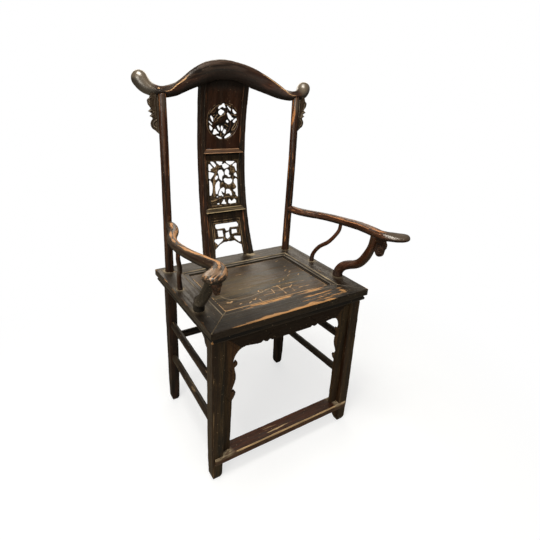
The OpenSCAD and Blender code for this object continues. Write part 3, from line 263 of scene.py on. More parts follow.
# %% [markdown]
# **Settled dust** lies on faces that look up. **Fleck** scatters small pale specks, where a knock has
# chipped the lacquer or a drop has dried: only the few cells of a random pattern that pass a
# limit get one.

# %% Dust and flecks
settled_dust, gin, gout = new_group("settled_dust", [
    ("Place", "Vector", None), ("Amount", "Float", 0.3)], ["Dust"])
normal = put(settled_dust, "NewGeometry").outputs["Normal"]
facing = put(settled_dust, "SeparateXYZ", {0: normal}).outputs[2]
lies = ramp(settled_dust, facing, 0.35, 1.0, 0.0, 0.6)
cloudy = ramp(settled_dust, cloud(settled_dust, gin["Place"], 55.0, 6.0, 0.7), 0.38, 0.75)
laid = times(settled_dust, times(settled_dust, lies, cloudy), gin["Amount"], clamp=True)
settled_dust.links.new(laid, gout["Dust"])

fleck, gin, gout = new_group("fleck", [("Place", "Vector", None), ("Rare", "Float", 0.9)], ["Speck"])
cell = put(fleck, "TexVoronoi", {"Vector": gin["Place"], "Scale": 250.0}).outputs
chance = put(fleck, "SeparateColor", {0: cell["Color"]}).outputs[0]
small = ramp(fleck, cell["Distance"], 0.12, 0.28, 1.0, 0.0)
fleck.links.new(times(fleck, small, calc(fleck, "GREATER_THAN", chance, gin["Rare"])), gout["Speck"])
print("groups:", [g.name for g in bpy.data.node_groups])


# %% [markdown]
# ## Lacquered wood
# The finish is a dark brown lacquer over brown hardwood. Light streaks along the grain show where
# the lacquer is thin, a redder tone comes through in patches, and bare wood shows on worn
# arrises. Soot and wax have turned the hollows black. Painted shade darkens them further, along
# with the undersides and the places that another part shades. A few ends are polished by hands, and
# their pale bronze tone is partly a painted sheen. The same steps lay it on every board, with the
# amounts of each finish, because every board of the chair has the same history in another measure.
# Five attributes of the mesh say where: arris, hollow (soot and painted shade), rub (bare
# wood), dusty and polish.

# %% Colours that all finishes share
def tone(r, g, b):
    """A colour as seen on a screen, 0 to 255, turned into the light values that nodes use."""
    return tuple((v / 255 / 12.92 if v < 10 else ((v / 255 + 0.055) / 1.055) ** 2.4)
                 for v in (r, g, b)) + (1,)


def darker(colour, share):
    return tuple(v * share for v in colour[:3]) + (1,)


# Soot and painted shade share one near-black colour. It darkens hollows, undersides and places that another
# part shades.
soot_and_shade_black, dust_grey = tone(9, 6, 3), tone(158, 143, 118)
# The bronze of polished ends is partly a painted sheen. It is paler than the wood and stands in for their
# highlight.
bronze_sheen, chip_pale = tone(100, 88, 72), tone(176, 158, 128)
dust_amount, speck_limit, soot_and_shade_share = 0.04, 0.965, 0.95
print("soot, dust, bronze:", [[round(v, 3) for v in c[:3]] for c in (soot_and_shade_black, dust_grey, bronze_sheen)])


# %% [markdown]
# Sound lacquer comes first: streaks, warm clouds and dark fibres, with a bronze tone where hands
# polish it, which is partly a painted sheen. Then comes bare wood, on the arrises and where a piece is
# rubbed. Noise along the grain breaks both up, so that the edge of a worn place is as ragged as on
# real boards.

# %% Lacquer and bare wood
def sound_lacquer(tree, wood, mark, deep, thin, warm, streaks, warmth):
    colour = blend(tree, times(tree, wood["Streaks"], streaks), deep, thin)
    colour = blend(tree, times(tree, wood["Cloud"], warmth), colour, warm)
    colour = blend(tree, times(tree, wood["Fibres"], 0.65), colour, darker(deep, 0.35))
    handled_bronze_sheen = blend(tree, wood["Cloud"], bronze_sheen, darker(bronze_sheen, 0.4))
    return blend(tree, times(tree, mark["polish"], 0.85), colour, handled_bronze_sheen)


def worn_mask(tree, wood, mark, place, wear, unpolished):
    edge = use(tree, worn_edge, Arris=mark["arris"], Place=place, Amount=wear)["Wear"]
    shaky = times_plus(tree, wood["Streaks"], 0.8, times(tree, wood["Cloud"], 0.35))
    bald = times_plus(tree, mark["rub"], 1.3, calc(tree, "SUBTRACT", shaky, 1.1))
    return times(tree, calc(tree, "MAXIMUM", edge, ramp(tree, bald, 0.22, 0.58)), unpolished)


def bare_boards(tree, wood, bare):
    rubbed = blend(tree, wood["Fibres"], bare, darker(bare, 0.3))
    return blend(tree, times(tree, wood["Cloud"], 0.45), rubbed, darker(bare, 0.55))


# %% [markdown]
# The whole finish puts the layers on each other: lacquer, bare wood, chips, soot and painted shade
# in the hollows and under things, and dust over all. Worn, dusty and darkened places are duller,
# polished ones shinier, and a slight bump lets the fibres and the lost film of lacquer catch the light.

# %% The whole finish
def lacquer(name, deep, thin, warm, bare, streaks, warmth, wear, rough,
            gloss=0.4, scale=90.0, stretch=12.0):
    stuff = bpy.data.materials.new(name)
    tree = new_tree(stuff)
    along = put(tree, "Attribute", attribute_name="grain").outputs["Vector"]
    place = put(tree, "TexCoord").outputs["Object"]
    mark = {label: put(tree, "Attribute", attribute_name=label).outputs["Fac"]
            for label in ("arris", "hollow", "rub", "dusty", "polish")}
    wood = use(tree, long_grain, Along=along, Scale=scale, Stretch=stretch)
    unpolished = times_plus(tree, mark["polish"], -0.9, 1.0, clamp=True)
    worn = worn_mask(tree, wood, mark, place, wear, unpolished)
    colour = sound_lacquer(tree, wood, mark, deep, thin, warm, streaks, warmth)
    colour = blend(tree, worn, colour, bare_boards(tree, wood, bare))
    chips = use(tree, fleck, Place=place, Rare=speck_limit)["Speck"]
    colour = blend(tree, times(tree, chips, unpolished), colour, chip_pale)
    # Soot and painted shade: the colour turns near black where the hollow mark is set.
    colour = blend(tree, times(tree, mark["hollow"], soot_and_shade_share), colour, soot_and_shade_black)
    grime = use(tree, settled_dust, Place=place, Amount=dust_amount)["Dust"]
    grime = calc(tree, "MAXIMUM", times(tree, grime, unpolished), mark["dusty"])
    colour = blend(tree, grime, colour, dust_grey)
    shine = rough
    for mask, dulls in ((wood["Streaks"], 0.2), (worn, 0.12), (mark["polish"], -0.10), (grime, 0.35)):
        shine = times_plus(tree, mask, dulls, shine)
    shine = times_plus(tree, mark["hollow"], 0.6, shine, clamp=True)
    relief = times_plus(tree, wood["Fibres"], -0.5, times(tree, worn, -0.6))
    relief = times(tree, times_plus(tree, wood["Streaks"], -0.3, relief), unpolished)
    bump = put(tree, "Bump", {"Strength": 0.45, "Distance": 0.0005, "Height": relief}).outputs[0]
    coat = put(tree, "BsdfPrincipled", {"Base Color": colour, "Roughness": shine, "Normal": bump,
                                        "Specular IOR Level": gloss, "Coat Roughness": 0.32, "Coat IOR": 1.9,
                                        "Coat Weight": times(tree, mark["polish"], 0.9)})
    put(tree, "OutputMaterial", {"Surface": coat.outputs[0]})
    return stuff


# %% [markdown]
# Each row below is one finish: the colours of the deep lacquer, the thin lacquer, its warm clouds
# and the bare wood, then how strong the streaks, the warmth and the wear are, and how rough it is.
# Some rows go on with the gloss, and with how fine and how long the grain is.

# %% Table of finishes
finish_table = {
    "crest_wood": ((16, 9, 4), (74, 50, 31), (96, 48, 23), (214, 168, 120), 0.6, 0.6, 0.75, 0.30, 0.5),
    "post_wood": ((14, 8, 4), (92, 60, 38), (88, 42, 20), (208, 140, 82), 0.75, 0.4, 0.6, 0.30,
                  0.5, 170, 20),
    "leg_wood": ((19, 14, 7), (88, 71, 46), (78, 44, 22), (160, 136, 102), 0.6, 0.4, 0.85, 0.40),
    "arm_wood": ((16, 13, 9), (78, 68, 51), (84, 52, 32), (222, 164, 112), 0.65, 0.3, 0.7, 0.28,
                 0.5, 150, 18),
    "red_arm": ((16, 10, 6), (92, 62, 41), (108, 60, 33), (200, 134, 84), 0.7, 0.5, 0.7, 0.28,
                0.5, 150, 18),
    "stick_wood": ((14, 9, 5), (70, 52, 34), (112, 58, 28), (176, 108, 64), 0.7, 0.55, 0.7, 0.28,
                   0.5, 200, 16),
    "olive_stick": ((16, 13, 9), (66, 59, 45), (46, 32, 20), (170, 132, 94), 0.65, 0.45, 0.6, 0.26,
                    0.5, 160, 14),
    "carved_wood": ((24, 16, 10), (88, 62, 42), (88, 48, 28), (156, 118, 86), 0.5, 0.4, 0.9, 0.38),
    "ear_wood": ((56, 46, 35), (116, 102, 84), (84, 62, 44), (160, 144, 122), 0.5, 0.4, 0.9, 0.36),
    "splat_frame_wood": ((20, 14, 8), (68, 53, 37), (86, 45, 23), (144, 92, 58), 0.6, 0.5, 0.8, 0.36,
                         0.4, 130, 16),
    "splat_panel_wood": ((24, 14, 7), (58, 38, 23), (72, 38, 19), (166, 138, 106), 0.45, 0.6, 0.8, 0.36),
    "open_panel": ((30, 24, 15), (84, 70, 49), (74, 50, 30), (176, 148, 110), 0.55, 0.4, 0.9, 0.36),
    "tawny_rail": ((46, 31, 20), (98, 72, 51), (88, 54, 33), (184, 140, 104), 0.6, 0.5, 0.95, 0.36),
    "straw_rail": ((46, 38, 26), (112, 97, 72), (92, 73, 50), (194, 172, 132), 0.6, 0.4, 0.95, 0.36),
    "seat_frame_wood": ((10, 7, 4), (56, 45, 30), (48, 29, 15), (212, 158, 100), 0.6, 0.4, 0.95, 0.30,
                        0.5, 130, 20),
    "seat_panel_wood": ((10, 8, 4), (98, 80, 51), (66, 42, 21), (208, 168, 120), 0.8, 0.6, 0.9, 0.30,
                        0.5, 120, 16),
    "bare_wood": ((70, 50, 34), (112, 86, 60), (98, 66, 42), (170, 124, 82), 0.6, 0.4, 0.2, 0.62),
    "apron_wood": ((14, 9, 5), (44, 33, 21), (48, 27, 15), (134, 108, 76), 0.5, 0.55, 0.75, 0.46, 0.3),
    # The spandrels take a lighter copy of the apron finish. This is painted light that offsets the shade
    # beside the legs.
    "spandrel_wood": ((40, 30, 18), (98, 80, 53), (92, 56, 30), (160, 132, 94), 0.6, 0.5, 0.8, 0.44, 0.3),
    "footrest_wood": ((28, 15, 8), (84, 50, 31), (98, 50, 27), (252, 216, 164), 0.65, 0.6, 0.95, 0.42),
    "stretcher_wood": ((18, 13, 8), (72, 59, 42), (54, 35, 20), (152, 128, 96), 0.6, 0.35, 0.8, 0.40),
}
finishes = {name: lacquer(name + "_finish", *(tone(*colour) for colour in row[:4]), *row[4:])
            for name, row in finish_table.items()}

# A few pieces have aged in their own way, and take another finish than the rest of their kind. The spandrels
# take a lighter one as painted light.
own_finish = {"splat_upper_rail": "tawny_rail", "splat_lower_rail": "straw_rail",
              "splat_middle_panel": "open_panel", "splat_lower_panel": "open_panel",
              "left_spandrel": "spandrel_wood", "right_spandrel": "spandrel_wood",
              "left_crest_ear": "ear_wood", "right_crest_ear": "ear_wood",
              "left_goose_neck": "olive_stick", "right_goose_neck": "stick_wood",
              "left_arm_spindle": "stick_wood", "right_arm_spindle": "stick_wood",
              "right_arm": "red_arm"}
print("finishes:", sorted(finishes))


# %% [markdown]
# ## Helpers that work as a maker's hands do
# A CAD piece has knife-sharp corners and flat facets. A worn copy starts from the CAD piece itself,
# so nothing has to be fitted: its loose triangles are merged, flat neighbours are joined to whole
# faces, and then the corners are broken with a bevel.

# %% Copying and selecting
def only(piece):
    bpy.ops.object.select_all(action="DESELECT")
    piece.select_set(True)
    bpy.context.view_layer.objects.active = piece


def copy_of(node, name):
    only(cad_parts[node])
    bpy.ops.object.duplicate()
    piece = bpy.context.object
    piece.name = name
    piece.data.name = name
    piece.parent = None
    for mark in list(piece.keys()):
        if mark.startswith("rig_"):
            del piece[mark]
    piece.matrix_world = Matrix.Identity(4)
    only(piece)
    bpy.ops.object.mode_set(mode="EDIT")
    bpy.ops.mesh.select_all(action="SELECT")
    bpy.ops.mesh.remove_doubles(threshold=0.00002)
    bpy.ops.mesh.dissolve_limited(angle_limit=math.radians(0.6))
    bpy.ops.object.mode_set(mode="OBJECT")
    piece.data.materials.clear()
    return piece


def finish_with(piece, kind, **settings):
    """Adds one modifier, sets it and applies it."""
    only(piece)
    made = piece.modifiers.new(kind.lower(), kind)
    for name, value in settings.items():
        setattr(made, name, value)
    bpy.ops.object.modifier_apply(modifier=made.name)


def read(piece, what="co"):
    values = np.empty(len(piece.data.vertices) * 3)
    piece.data.vertices.foreach_get(what, values)
    return values.reshape(-1, 3)


def write_mark(piece, name, values, kind="FLOAT"):
    """Stores one number or one vector for each point of the mesh."""
    layer = piece.data.attributes.get(name) or piece.data.attributes.new(name, kind, "POINT")
    field = "vector" if kind == "FLOAT_VECTOR" else "value"
    layer.data.foreach_set(field, np.asarray(values, np.float32).ravel())


# %% [markdown]
# The grain attribute holds how far along the stick a point lies, and how far off its middle
# line. The middle line is a list of points: two for a straight stick, more for a bowed one. Each
# piece starts further into the pattern than the one before, so no two boards share their grain.

# %% Grain along a line
sown = {"count": 0}
grain_shift = np.array([1.37, 0.83, 0.59])
endless = 1e3


def lay_grain(piece, line):
    points = read(piece)
    line = np.array(line, float)
    sown["count"] += 1
    best = np.full(len(points), np.inf)
    out = np.zeros((len(points), 3))
    run = 0.0
    for k in range(len(line) - 1):
        leg = line[k + 1] - line[k]
        size = np.linalg.norm(leg)
        way = leg / size
        t = (points - line[k]) @ way
        t = np.clip(t, 0 if k else -endless, size if k < len(line) - 2 else endless)
        off = points - line[k] - t[:, None] * way
        gap = np.linalg.norm(off, axis=1)
        ref = np.array([0, 0, 1.0]) if abs(way[2]) < 0.9 else np.array([0, 1.0, 0])
        u = np.cross(way, ref)
        u /= np.linalg.norm(u)
        v = np.cross(u, way)
        near = gap < best
        best[near] = gap[near]
        out[near] = np.stack([t + run, off @ u, off @ v], 1)[near]
        run += size
    out += grain_shift * sown["count"]
    write_mark(piece, "grain", out, "FLOAT_VECTOR")


# %% [markdown]
# Where a copy has an even, dense mesh, the arris and the hollows can be measured: a point that
# stands out from the mean of its neighbours is on a ridge, and one that lies below it is
# in a groove. Spreading the numbers a few steps makes soft bands.

# %% Ridges and hollows
spread_steps, faint_ridge, full_ridge = 2, 0.10, 0.34


def mark_ridges(piece):
    points, normals = read(piece), read(piece, "normal")
    ends = np.empty(len(piece.data.edges) * 2, np.int64)
    piece.data.edges.foreach_get("vertices", ends)
    a, b = ends.reshape(-1, 2).T
    count = np.bincount(a, minlength=len(points)) + np.bincount(b, minlength=len(points))
    count = np.maximum(count, 1)

    def mean_of(values):
        return (np.bincount(a, values[b], len(points)) + np.bincount(b, values[a], len(points))) / count

    size = np.linalg.norm(points[a] - points[b], axis=1).mean()
    middle = np.stack([mean_of(points[:, i]) for i in range(3)], 1)
    out = ((points - middle) * normals).sum(1) / size
    for _ in range(spread_steps):
        out = 0.5 * out + 0.5 * mean_of(out)
    reach_up = full_ridge - faint_ridge
    write_mark(piece, "arris", np.clip((out - faint_ridge) / reach_up, 0, 1))
    # The low points give the hollow mark: soot and painted shade in grooves.
    write_mark(piece, "hollow", np.clip((-out - faint_ridge * 0.5) / reach_up, 0, 1))


# %% [markdown]
# There are two ways of ageing a piece. A **sawn** piece is hidden or plain, so a bevel breaks its
# corners and the new narrow faces are marked as arris.

# %% Sawn pieces
def age_sawn(node, line, width):
    piece = copy_of(node, "old_" + node)
    for _ in range(2):
        piece.data.materials.append(None)
    finish_with(piece, "BEVEL", width=width, segments=2, limit_method="ANGLE",
                angle_limit=math.radians(28), material=1, miter_outer="MITER_ARC")
    chosen = np.empty(len(piece.data.polygons), np.int32)
    piece.data.polygons.foreach_get("material_index", chosen)
    layer = piece.data.attributes.new("arris", "FLOAT", "FACE")
    layer.data.foreach_set("value", (chosen == 1).astype(np.float32))
    piece.data.polygons.foreach_set("material_index", np.zeros_like(chosen))
    finish_with(piece, "TRIANGULATE", min_vertices=5)
    only(piece)
    bpy.ops.object.shade_smooth_by_angle(angle=math.radians(32))
    lay_grain(piece, line)
    return piece


# %% [markdown]
# A **handled** piece is remeshed to an even, dense skin and smoothed as hands smooth it. On that skin
# dents, carving and wear can be worked in: `work` moves the points and gives the marks of its piece.

# %% Handled pieces
dent_depth = 0.0004


def waves(points, scale):
    return np.array([noise.noise(Vector(p) * scale) for p in points])


def age_handled(node, line, voxel, smooth, work):
    piece = copy_of(node, "old_" + node)
    finish_with(piece, "REMESH", mode="VOXEL", voxel_size=voxel, use_smooth_shade=True)
    finish_with(piece, "SMOOTH", factor=0.5, iterations=smooth)
    points, normals = read(piece), read(piece, "normal")
    push = np.clip(waves(points, 38) + 0.5 * waves(points, 110) + 0.35, 0, 1)
    points -= normals * (dent_depth * push)[:, None]
    marks = work(node, points, normals)
    points[:, 2] = np.maximum(points[:, 2], 0)
    piece.data.vertices.foreach_set("co", points.ravel())
    piece.data.update()
    mark_ridges(piece)
    for name, values in marks.items():
        write_mark(piece, name, np.clip(values, 0, 1.5))
    lay_grain(piece, line)
    return piece


# %% [markdown]
# A finished piece gets its material, rides on the chair's one body, and takes the place of the CAD
# piece that it was copied from.

# %% Placing a piece
def place_piece(piece, node, slot):
    piece.data.materials.clear()
    piece.data.materials.append(finishes[own_finish.get(node, slot)])
    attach(piece, "root")
    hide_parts(node)
    print(piece.name, "faces", len(piece.data.polygons))
    return len(piece.data.polygons)


def mirrored(line):
    return [(-p[0],) + tuple(p[1:]) for p in line]


# %% [markdown]
# ## Carving
# Low relief is drawn as strokes, as a carver draws on the board: a line of points in
# millimetres, half its width, its height, which is below zero for a cut line, and how bare it is
# worn. The distance of each point of the skin to the stroke gives a round bead or a V cut, and the
# same distance says where the top of the bead has lost its lacquer.

# %% Strokes
def reach(flat, line):
    """Least distance of each flat point to a line of points."""
    line = [np.array(p, float) for p in line]
    if len(line) == 1:
        return np.linalg.norm(flat - line[0], axis=1)
    best = np.full(len(flat), np.inf)
    for a, b in zip(line[:-1], line[1:]):
        way = b - a
        t = np.clip((flat - a) @ way / max(way @ way, 1e-9), 0, 1)
        best = np.minimum(best, np.linalg.norm(flat - a - t[:, None] * way, axis=1))
    return best


def strokes_on(flat, strokes):
    """Height of the relief, and how bare each stroke is, from (line, half width, height, bareness)."""
    high, cut, bare = np.zeros(len(flat)), np.zeros(len(flat)), np.zeros(len(flat))
    for line, width, height, bareness in strokes:
        share = np.clip(1 - (reach(flat, line) / width) ** 2, 0, 1)
        if height >= 0:
            high = np.maximum(high, height * np.sqrt(share))
        else:
            cut = np.minimum(cut, height * share)
        bare = np.maximum(bare, bareness * np.clip(share * 1.8, 0, 1))
    return high + cut, bare


def press(points, chosen, amount, way):
    """Moves the chosen points by amount, in millimetres, along one direction."""
    points[chosen] += (amount[chosen] * 0.001)[:, None] * np.array(way, float)


def in_mm(points, hand=1):
    """The three coordinates in millimetres. A hand of -1 turns a left piece into a right one."""
    return hand * points[:, 0] * 1000, points[:, 1] * 1000, points[:, 2] * 1000


def circle(cx, cz, r, a0=0, a1=360, n=40):
    return [(cx + r * math.cos(math.radians(a0 + (a1 - a0) * i / n)),
             cz + r * math.sin(math.radians(a0 + (a1 - a0) * i / n))) for i in range(n + 1)]


# %% [markdown]
# Three shapes of mask do nearly all the work: `step` rises softly from 0 to 1 between two
# values, `bead` is a narrow round band that ends sharply, and `glow` is a spot that fades for ever.

# %% Mask shapes
def step(value, low, high):
    t = np.clip((value - low) / (high - low), 0, 1)
    return t * t * (3 - 2 * t)


def bead(value, middle, half_width):
    return np.clip(1 - ((value - middle) / half_width) ** 2, 0, 1)


def glow(value, middle, spread):
    return np.exp(-((value - middle) / spread) ** 2)


def in_front(normals, least=0.45):
    return -normals[:, 1] > least


def side_of(node):
    return -1 if node.startswith("left") else 1


def most(*masks):
    """The strongest of several masks at each point."""
    strongest = masks[0]
    for mask in masks[1:]:
        strongest = np.maximum(strongest, mask)
    return strongest


print("carving tools ready")

# %% [markdown]
# ## The splat
# The back of the chair is one long bowed frame with three panels. The top one is a
# plain board with a round pierced medallion of leaves. The middle one is a pierced landscape with
# a deer under a tree, and the lowest is a lattice over an arch. The relief is drawn here: veins on the
# leaves, dots on rocks and foliage, and stepped lines round each opening.

# %% Medallion strokes
disc, disc_radius, disc_depth = (0, 983), 55.5, 2.6
leaf = 2.2
medallion = [
    (circle(*disc, 60), 1.3, 0.7, 0.35), (circle(*disc, 57.2), 1.5, -1.6, 0),
    (circle(*disc, 53.5, 60, 150), 1.4, 2.4, 0.85), (circle(*disc, 53.5, -70, 20), 1.2, 1.6, 0.3),
    ([(-30, 979), (-16, 984), (-2, 985), (5, 993), (8, 1004)], 8.5, 2.4, 0),
    ([(-20, 991), (-10, 998), (2, 1003), (6, 1008)], 2, 3.2, 1),
    ([(-33, 988), (-28, 996), (-22, 1003)], 1.5, 3, 0.8), ([(-29, 980), (-20, 987)], 1.3, 2.8, 0.7),
    ([(-37, 1001), (-30, 1003)], 1.3, 2.2, 0.5), ([(-40, 1008), (-31, 1018), (-24, 1023)], 5.5, 1.6, 0.1),
    ([(-36, 1008), (-30, 1014), (-27, 1022)], 1.1, 2.6, 0.4),
    ([(-42, 1014), (-34, 1022), (-30, 1028)], 1.1, 2.4, 0.4),
    ([(28, 983), (31, 970), (26, 955), (16, 945), (3, 935), (0, 926)], 2.6, 2.4, 0.15),
    ([(35, 958), (42, 966), (47, 976)], 1.4, 2.6, 0.85),
    ([(36, 953), (46, 958), (52, 968), (54, 978)], 1.5, 2.6, 0.85), ([(35, 958), (36, 953)], 1.2, 2.4, 0.7),
    ([(9, 973), (20, 966)], 1.8, 2.8, 0.9), ([(-9, 944), (-24, 962)], leaf, 2.2, 0.1),
    ([(-8, 946), (-10, 970)], leaf, 2.2, 0.1), ([(-6, 946), (3, 966)], leaf, 2.2, 0.1),
    ([(-4, 943), (15, 960)], leaf, 2.2, 0.1), ([(-6, 942), (-6, 936)], 1.8, 3, 0.6),
    ([(-44, 976), (-31, 962), (-13, 948)], 3, 2.2, 0.1), ([(-48, 974), (-37, 973), (-30, 965)], 2, 2.4, 0.5),
    ([(-32, 941), (-16, 936), (0, 931)], 2.2, 2, 0.25), ([(28, 1015), (36, 1025), (31, 1035)], 3.4, 2, 0.1),
    ([(30, 1004), (40, 1003), (50, 1001)], 2.6, 2.4, 0.45),
    ([(14, 1012), (20, 1022), (26, 1034)], 2.4, 2, 0.1),
    ([(-16, 1025), (-4, 1027), (8, 1020), (12, 1010)], 2.4, 2, 0.1),
    ([(-47, 990), (-38, 982), (-28, 972)], 2.6, 2, 0.15), ([(30, 995), (42, 982)], 2.4, 2, 0.15),
]

# %% Landscape and lattice strokes
landscape = [
    ([(-57.5, 704), (-57.5, 855), (61, 855), (61, 703), (-57.5, 704)], 1.3, -1.2, 0),
    ([(-60, 706), (-60, 857)], 0.9, 0.5, 0.45), ([(-60, 700.5), (64, 699)], 0.9, 0.5, 0.35),
    ([(64, 700), (64, 857)], 0.9, 0.5, 0.3),
    ([(-10, 770), (5, 764), (25, 766), (40, 763), (47, 760)], 9.5, 2.2, 0.05),
    ([(-8, 774), (0, 776)], 4, 3.2, 0.35), ([(38, 770), (46, 766)], 2.5, 2.8, 0.45),
    ([(-35, 735), (-35, 760), (-33, 785), (-26, 808), (-18, 826)], 4.2, 2.2, 0.1),
    ([(-38, 740), (-37, 770), (-35, 790)], 0.9, 2.8, 0.45),
    ([(-31, 745), (-32, 775), (-28, 800)], 0.9, 2.8, 0.4),
    ([(-48, 829), (-36, 826), (-26, 832), (-12, 836)], 5, 1.6, 0.1),
    ([(-46, 822), (-32, 818), (-24, 822)], 1.4, 2.6, 0.4),
    ([(-30, 838), (-20, 832), (-8, 830)], 1.2, 2.6, 0.45), ([(30, 828), (38, 820), (44, 812)], 8, 1.4, 0.1),
    ([(28, 832), (36, 836), (44, 830)], 1.3, 2.6, 0.4), ([(34, 812), (42, 818), (46, 808)], 1.3, 2.6, 0.4),
    ([(40, 796), (38, 780), (40, 770)], 2, 2, 0.2), ([(25, 752), (34, 742), (42, 732)], 2.6, 2.4, 0.25),
    ([(10, 738), (18, 742), (24, 734)], 2.2, 2.6, 0.25),
    ([(-50, 716), (-30, 720), (-12, 726)], 2.4, 1.8, 0.25),
    ([(0, 726), (20, 728), (40, 722), (56, 722)], 2.4, 1.8, 0.2),
]
lattice = [
    ([(-48.5, 530), (-49, 641), (50, 641), (53, 530)], 1, 0.7, 0.55),
    ([(-51.5, 528), (-52, 644.5), (53, 644.5), (56.5, 528)], 1.4, -1.5, 0),
    ([(-55.5, 526), (-56, 649), (57, 648.5), (60.5, 526)], 1.2, 0.8, 0.5),
    ([(-59.5, 525), (-60, 653), (61, 653), (64.5, 525)], 1.4, -1.2, 0),
    ([(-63.5, 524), (-64, 658), (65, 658), (69, 524)], 1.1, 0.5, 0.2),
    ([(-44, 635), (-43, 597)], 1.6, 1.2, 0.25),
    ([(-41, 620), (-10, 620), (-10, 600), (-12, 586)], 1.8, 1.4, 0.25),
    ([(-38, 592), (-18, 592)], 1.4, 1.2, 0.2),
    ([(-46, 566), (-30, 572), (-16, 585), (-10, 583)], 1.8, 1.6, 0.45),
    ([(14, 585), (16, 605), (15, 621), (44, 620)], 1.8, 1.4, 0.35), ([(43, 616), (42, 603)], 1.4, 1.4, 0.5),
    ([(20, 596), (32, 599), (46, 597)], 1.4, 1.4, 0.4),
    ([(-4, 581), (8, 580), (22, 587), (28, 580), (42, 567)], 1.9, 1.6, 0.4),
    ([(-14, 587), (-12, 583)], 3, 2.6, 0.5), ([(17, 588), (22, 587)], 3, 2.6, 0.5),
    ([(-6, 610), (8, 612)], 1.4, 1, 0.2),
]
print("strokes:", len(medallion), len(landscape), len(lattice))


# %% [markdown]
# Rocks and foliage are covered with small punched dots. A grid of cells with one dot each, moved
# a little at random with a fixed seed, gives the even but hand-made spacing.

# %% Dots
def dots(flat, spacing, seed=3):
    rng = np.random.RandomState(seed)
    shift = rng.rand(64, 64, 2) * 0.5 + 0.25
    cell = np.floor(flat / spacing).astype(int)
    best = np.full(len(flat), np.inf)
    for i in (-1, 0, 1):
        for j in (-1, 0, 1):
            near = cell + (i, j)
            seat = near + shift[near[:, 0] % 64, near[:, 1] % 64]
            best = np.minimum(best, np.linalg.norm(flat / spacing - seat, axis=1))
    return bead(best, 0, 0.42)


# %% [markdown]
# Each panel has its own ground: the medallion is sunk into its board, the landscape is dotted all
# over, and the lattice keeps the face of its board. Soot and painted shade darken what the strokes
# leave low. A painted shadow darkens the top of each panel, which sits in the shade of the rail or
# the crest above it.

# %% Panels
def work_splat(node, points, normals):
    flat = points[:, [0, 2]] * 1000
    x, z = flat.T
    front = in_front(normals)
    if node == "splat_top_panel":
        high, bare = strokes_on(flat, medallion)
        inside = np.linalg.norm(flat - disc, axis=1) < disc_radius
        high = np.where(inside, high - disc_depth, high)
        # Painted shade: the sunk ground of the medallion goes dark, and a painted shadow darkens the band
        # under the crest.
        black = np.where(inside & (bare < 0.3), 1.0, 0) * step(1.6 - high - disc_depth, 0, 1.5)
        black = most(black, 0.9 * step(z, 1072, 1100))
        rub = bare * 1.45
    elif node == "splat_middle_panel":
        high, bare = strokes_on(flat, landscape)
        inside = (x > -56) & (x < 59) & (z > 703) & (z < 853)
        spots = dots(flat, 4.0) * inside * (bare < 0.9)
        high = high + inside * (spots - 1.4)
        # Painted shade in the low ground, and a painted shadow under the upper rail.
        black = most(inside * step(-high, -0.2, 1.3) * 0.9, 0.95 * step(z, 869, 874))
        rub = bare * 1.6 + 1.1 * spots
    else:
        high, bare = strokes_on(flat, lattice)
        # Painted shade in the cut lines, and a painted shadow under the lower rail.
        black = most(step(-high, 0.1, 1.1) * 0.9, 0.95 * step(z, 669, 674))
        rub = bare * 1.6
    press(points, front, -high, (0, 1, 0))
    return {"rub": rub * front, "hollow": black * front}


# %% [markdown]
# The stiles come closest to each other at a waist above the middle panel, and spread below it. A
# flat bead and two sunk lines run down each, always as far from its inner edge, so the work is
# measured from there.

# %% Stiles and cross rails
waist_z = 925
ledge_tops = {"splat_upper_rail": 893, "splat_lower_rail": 694}


def stile_inner(z):
    """How far the inner edge of a stile stands from the middle, in millimetres."""
    below = 11.5 * np.where(z < waist_z, ((z - waist_z) / 405) ** 3, 0)
    above = np.where(z > waist_z, 2 * ((z - waist_z) / 180) ** 2, 0)
    return 64 - below + above


def work_stile(node, points, normals):
    out = np.abs(points[:, 0]) * 1000 - stile_inner(points[:, 2] * 1000)
    front = in_front(normals)
    cut, flat_bead, fine = bead(out, 8.6, 1.3), bead(out, 4.6, 3.2), bead(out, 13.0, 0.9)
    press(points, front, 1.5 * cut - 0.35 * flat_bead + 0.5 * fine, (0, 1, 0))
    low_part = step(1.15 - points[:, 2], 0.15, 0.55)
    shake = waves(points * (1, 1, 0.2), 90)
    rub = most(flat_bead * (0.36 + 0.45 * low_part + 0.35 * shake),
               bead(out, 16, 1.8) * (0.45 * low_part + 0.5 * shake),
               bead(out, 0.8, 1.4) * (0.9 + shake))
    # Painted shadow: the tops of the stiles go dark under the crest.
    crest_shadow = 0.8 * step(points[:, 2], 1.075, 1.100)
    return {"rub": rub * front, "hollow": most(cut, 0.6 * fine, crest_shadow) * front}


def work_cross_rail(node, points, normals):
    over_top = points[:, 2] * 1000 - ledge_tops[node]
    front = in_front(normals, 0.2)
    chips = step(waves(points, 190), 0.15, 0.5) * (over_top < -11.5)
    press(points, front, 0.9 * chips, (0, 1, 0))
    band = step(-over_top, 9.8, 11.2) + step(over_top, -3.0, -1.2)
    # Painted shade: the faces that look down, under the ledge, go dark.
    return {"rub": front * (0.12 + 1.1 * band), "hollow": (normals[:, 2] < -0.45).astype(float)}


print("splat tools ready")


# %% [markdown]
# ## The seat
# Four mitred rails hold a floating panel. The lacquer is rubbed to orange wood along the front
# arris, on the moulding in front of the panel and in long streaks to the right, where people slide
# off. Pale dirt rings the foot of every post. The panel has shrunk over the years, so a gap has
# opened at its right and back edges. The gap is pressed in and painted dark as its shadow. All places
# are in millimetres, from the middle of the front edge.

# %% Lines of the seat
front_y = 207.188
half_seat, seat_deep = 272, 427
panel_left, panel_right, panel_front, panel_back = -188.5, 177.0, 85.0, 333.0
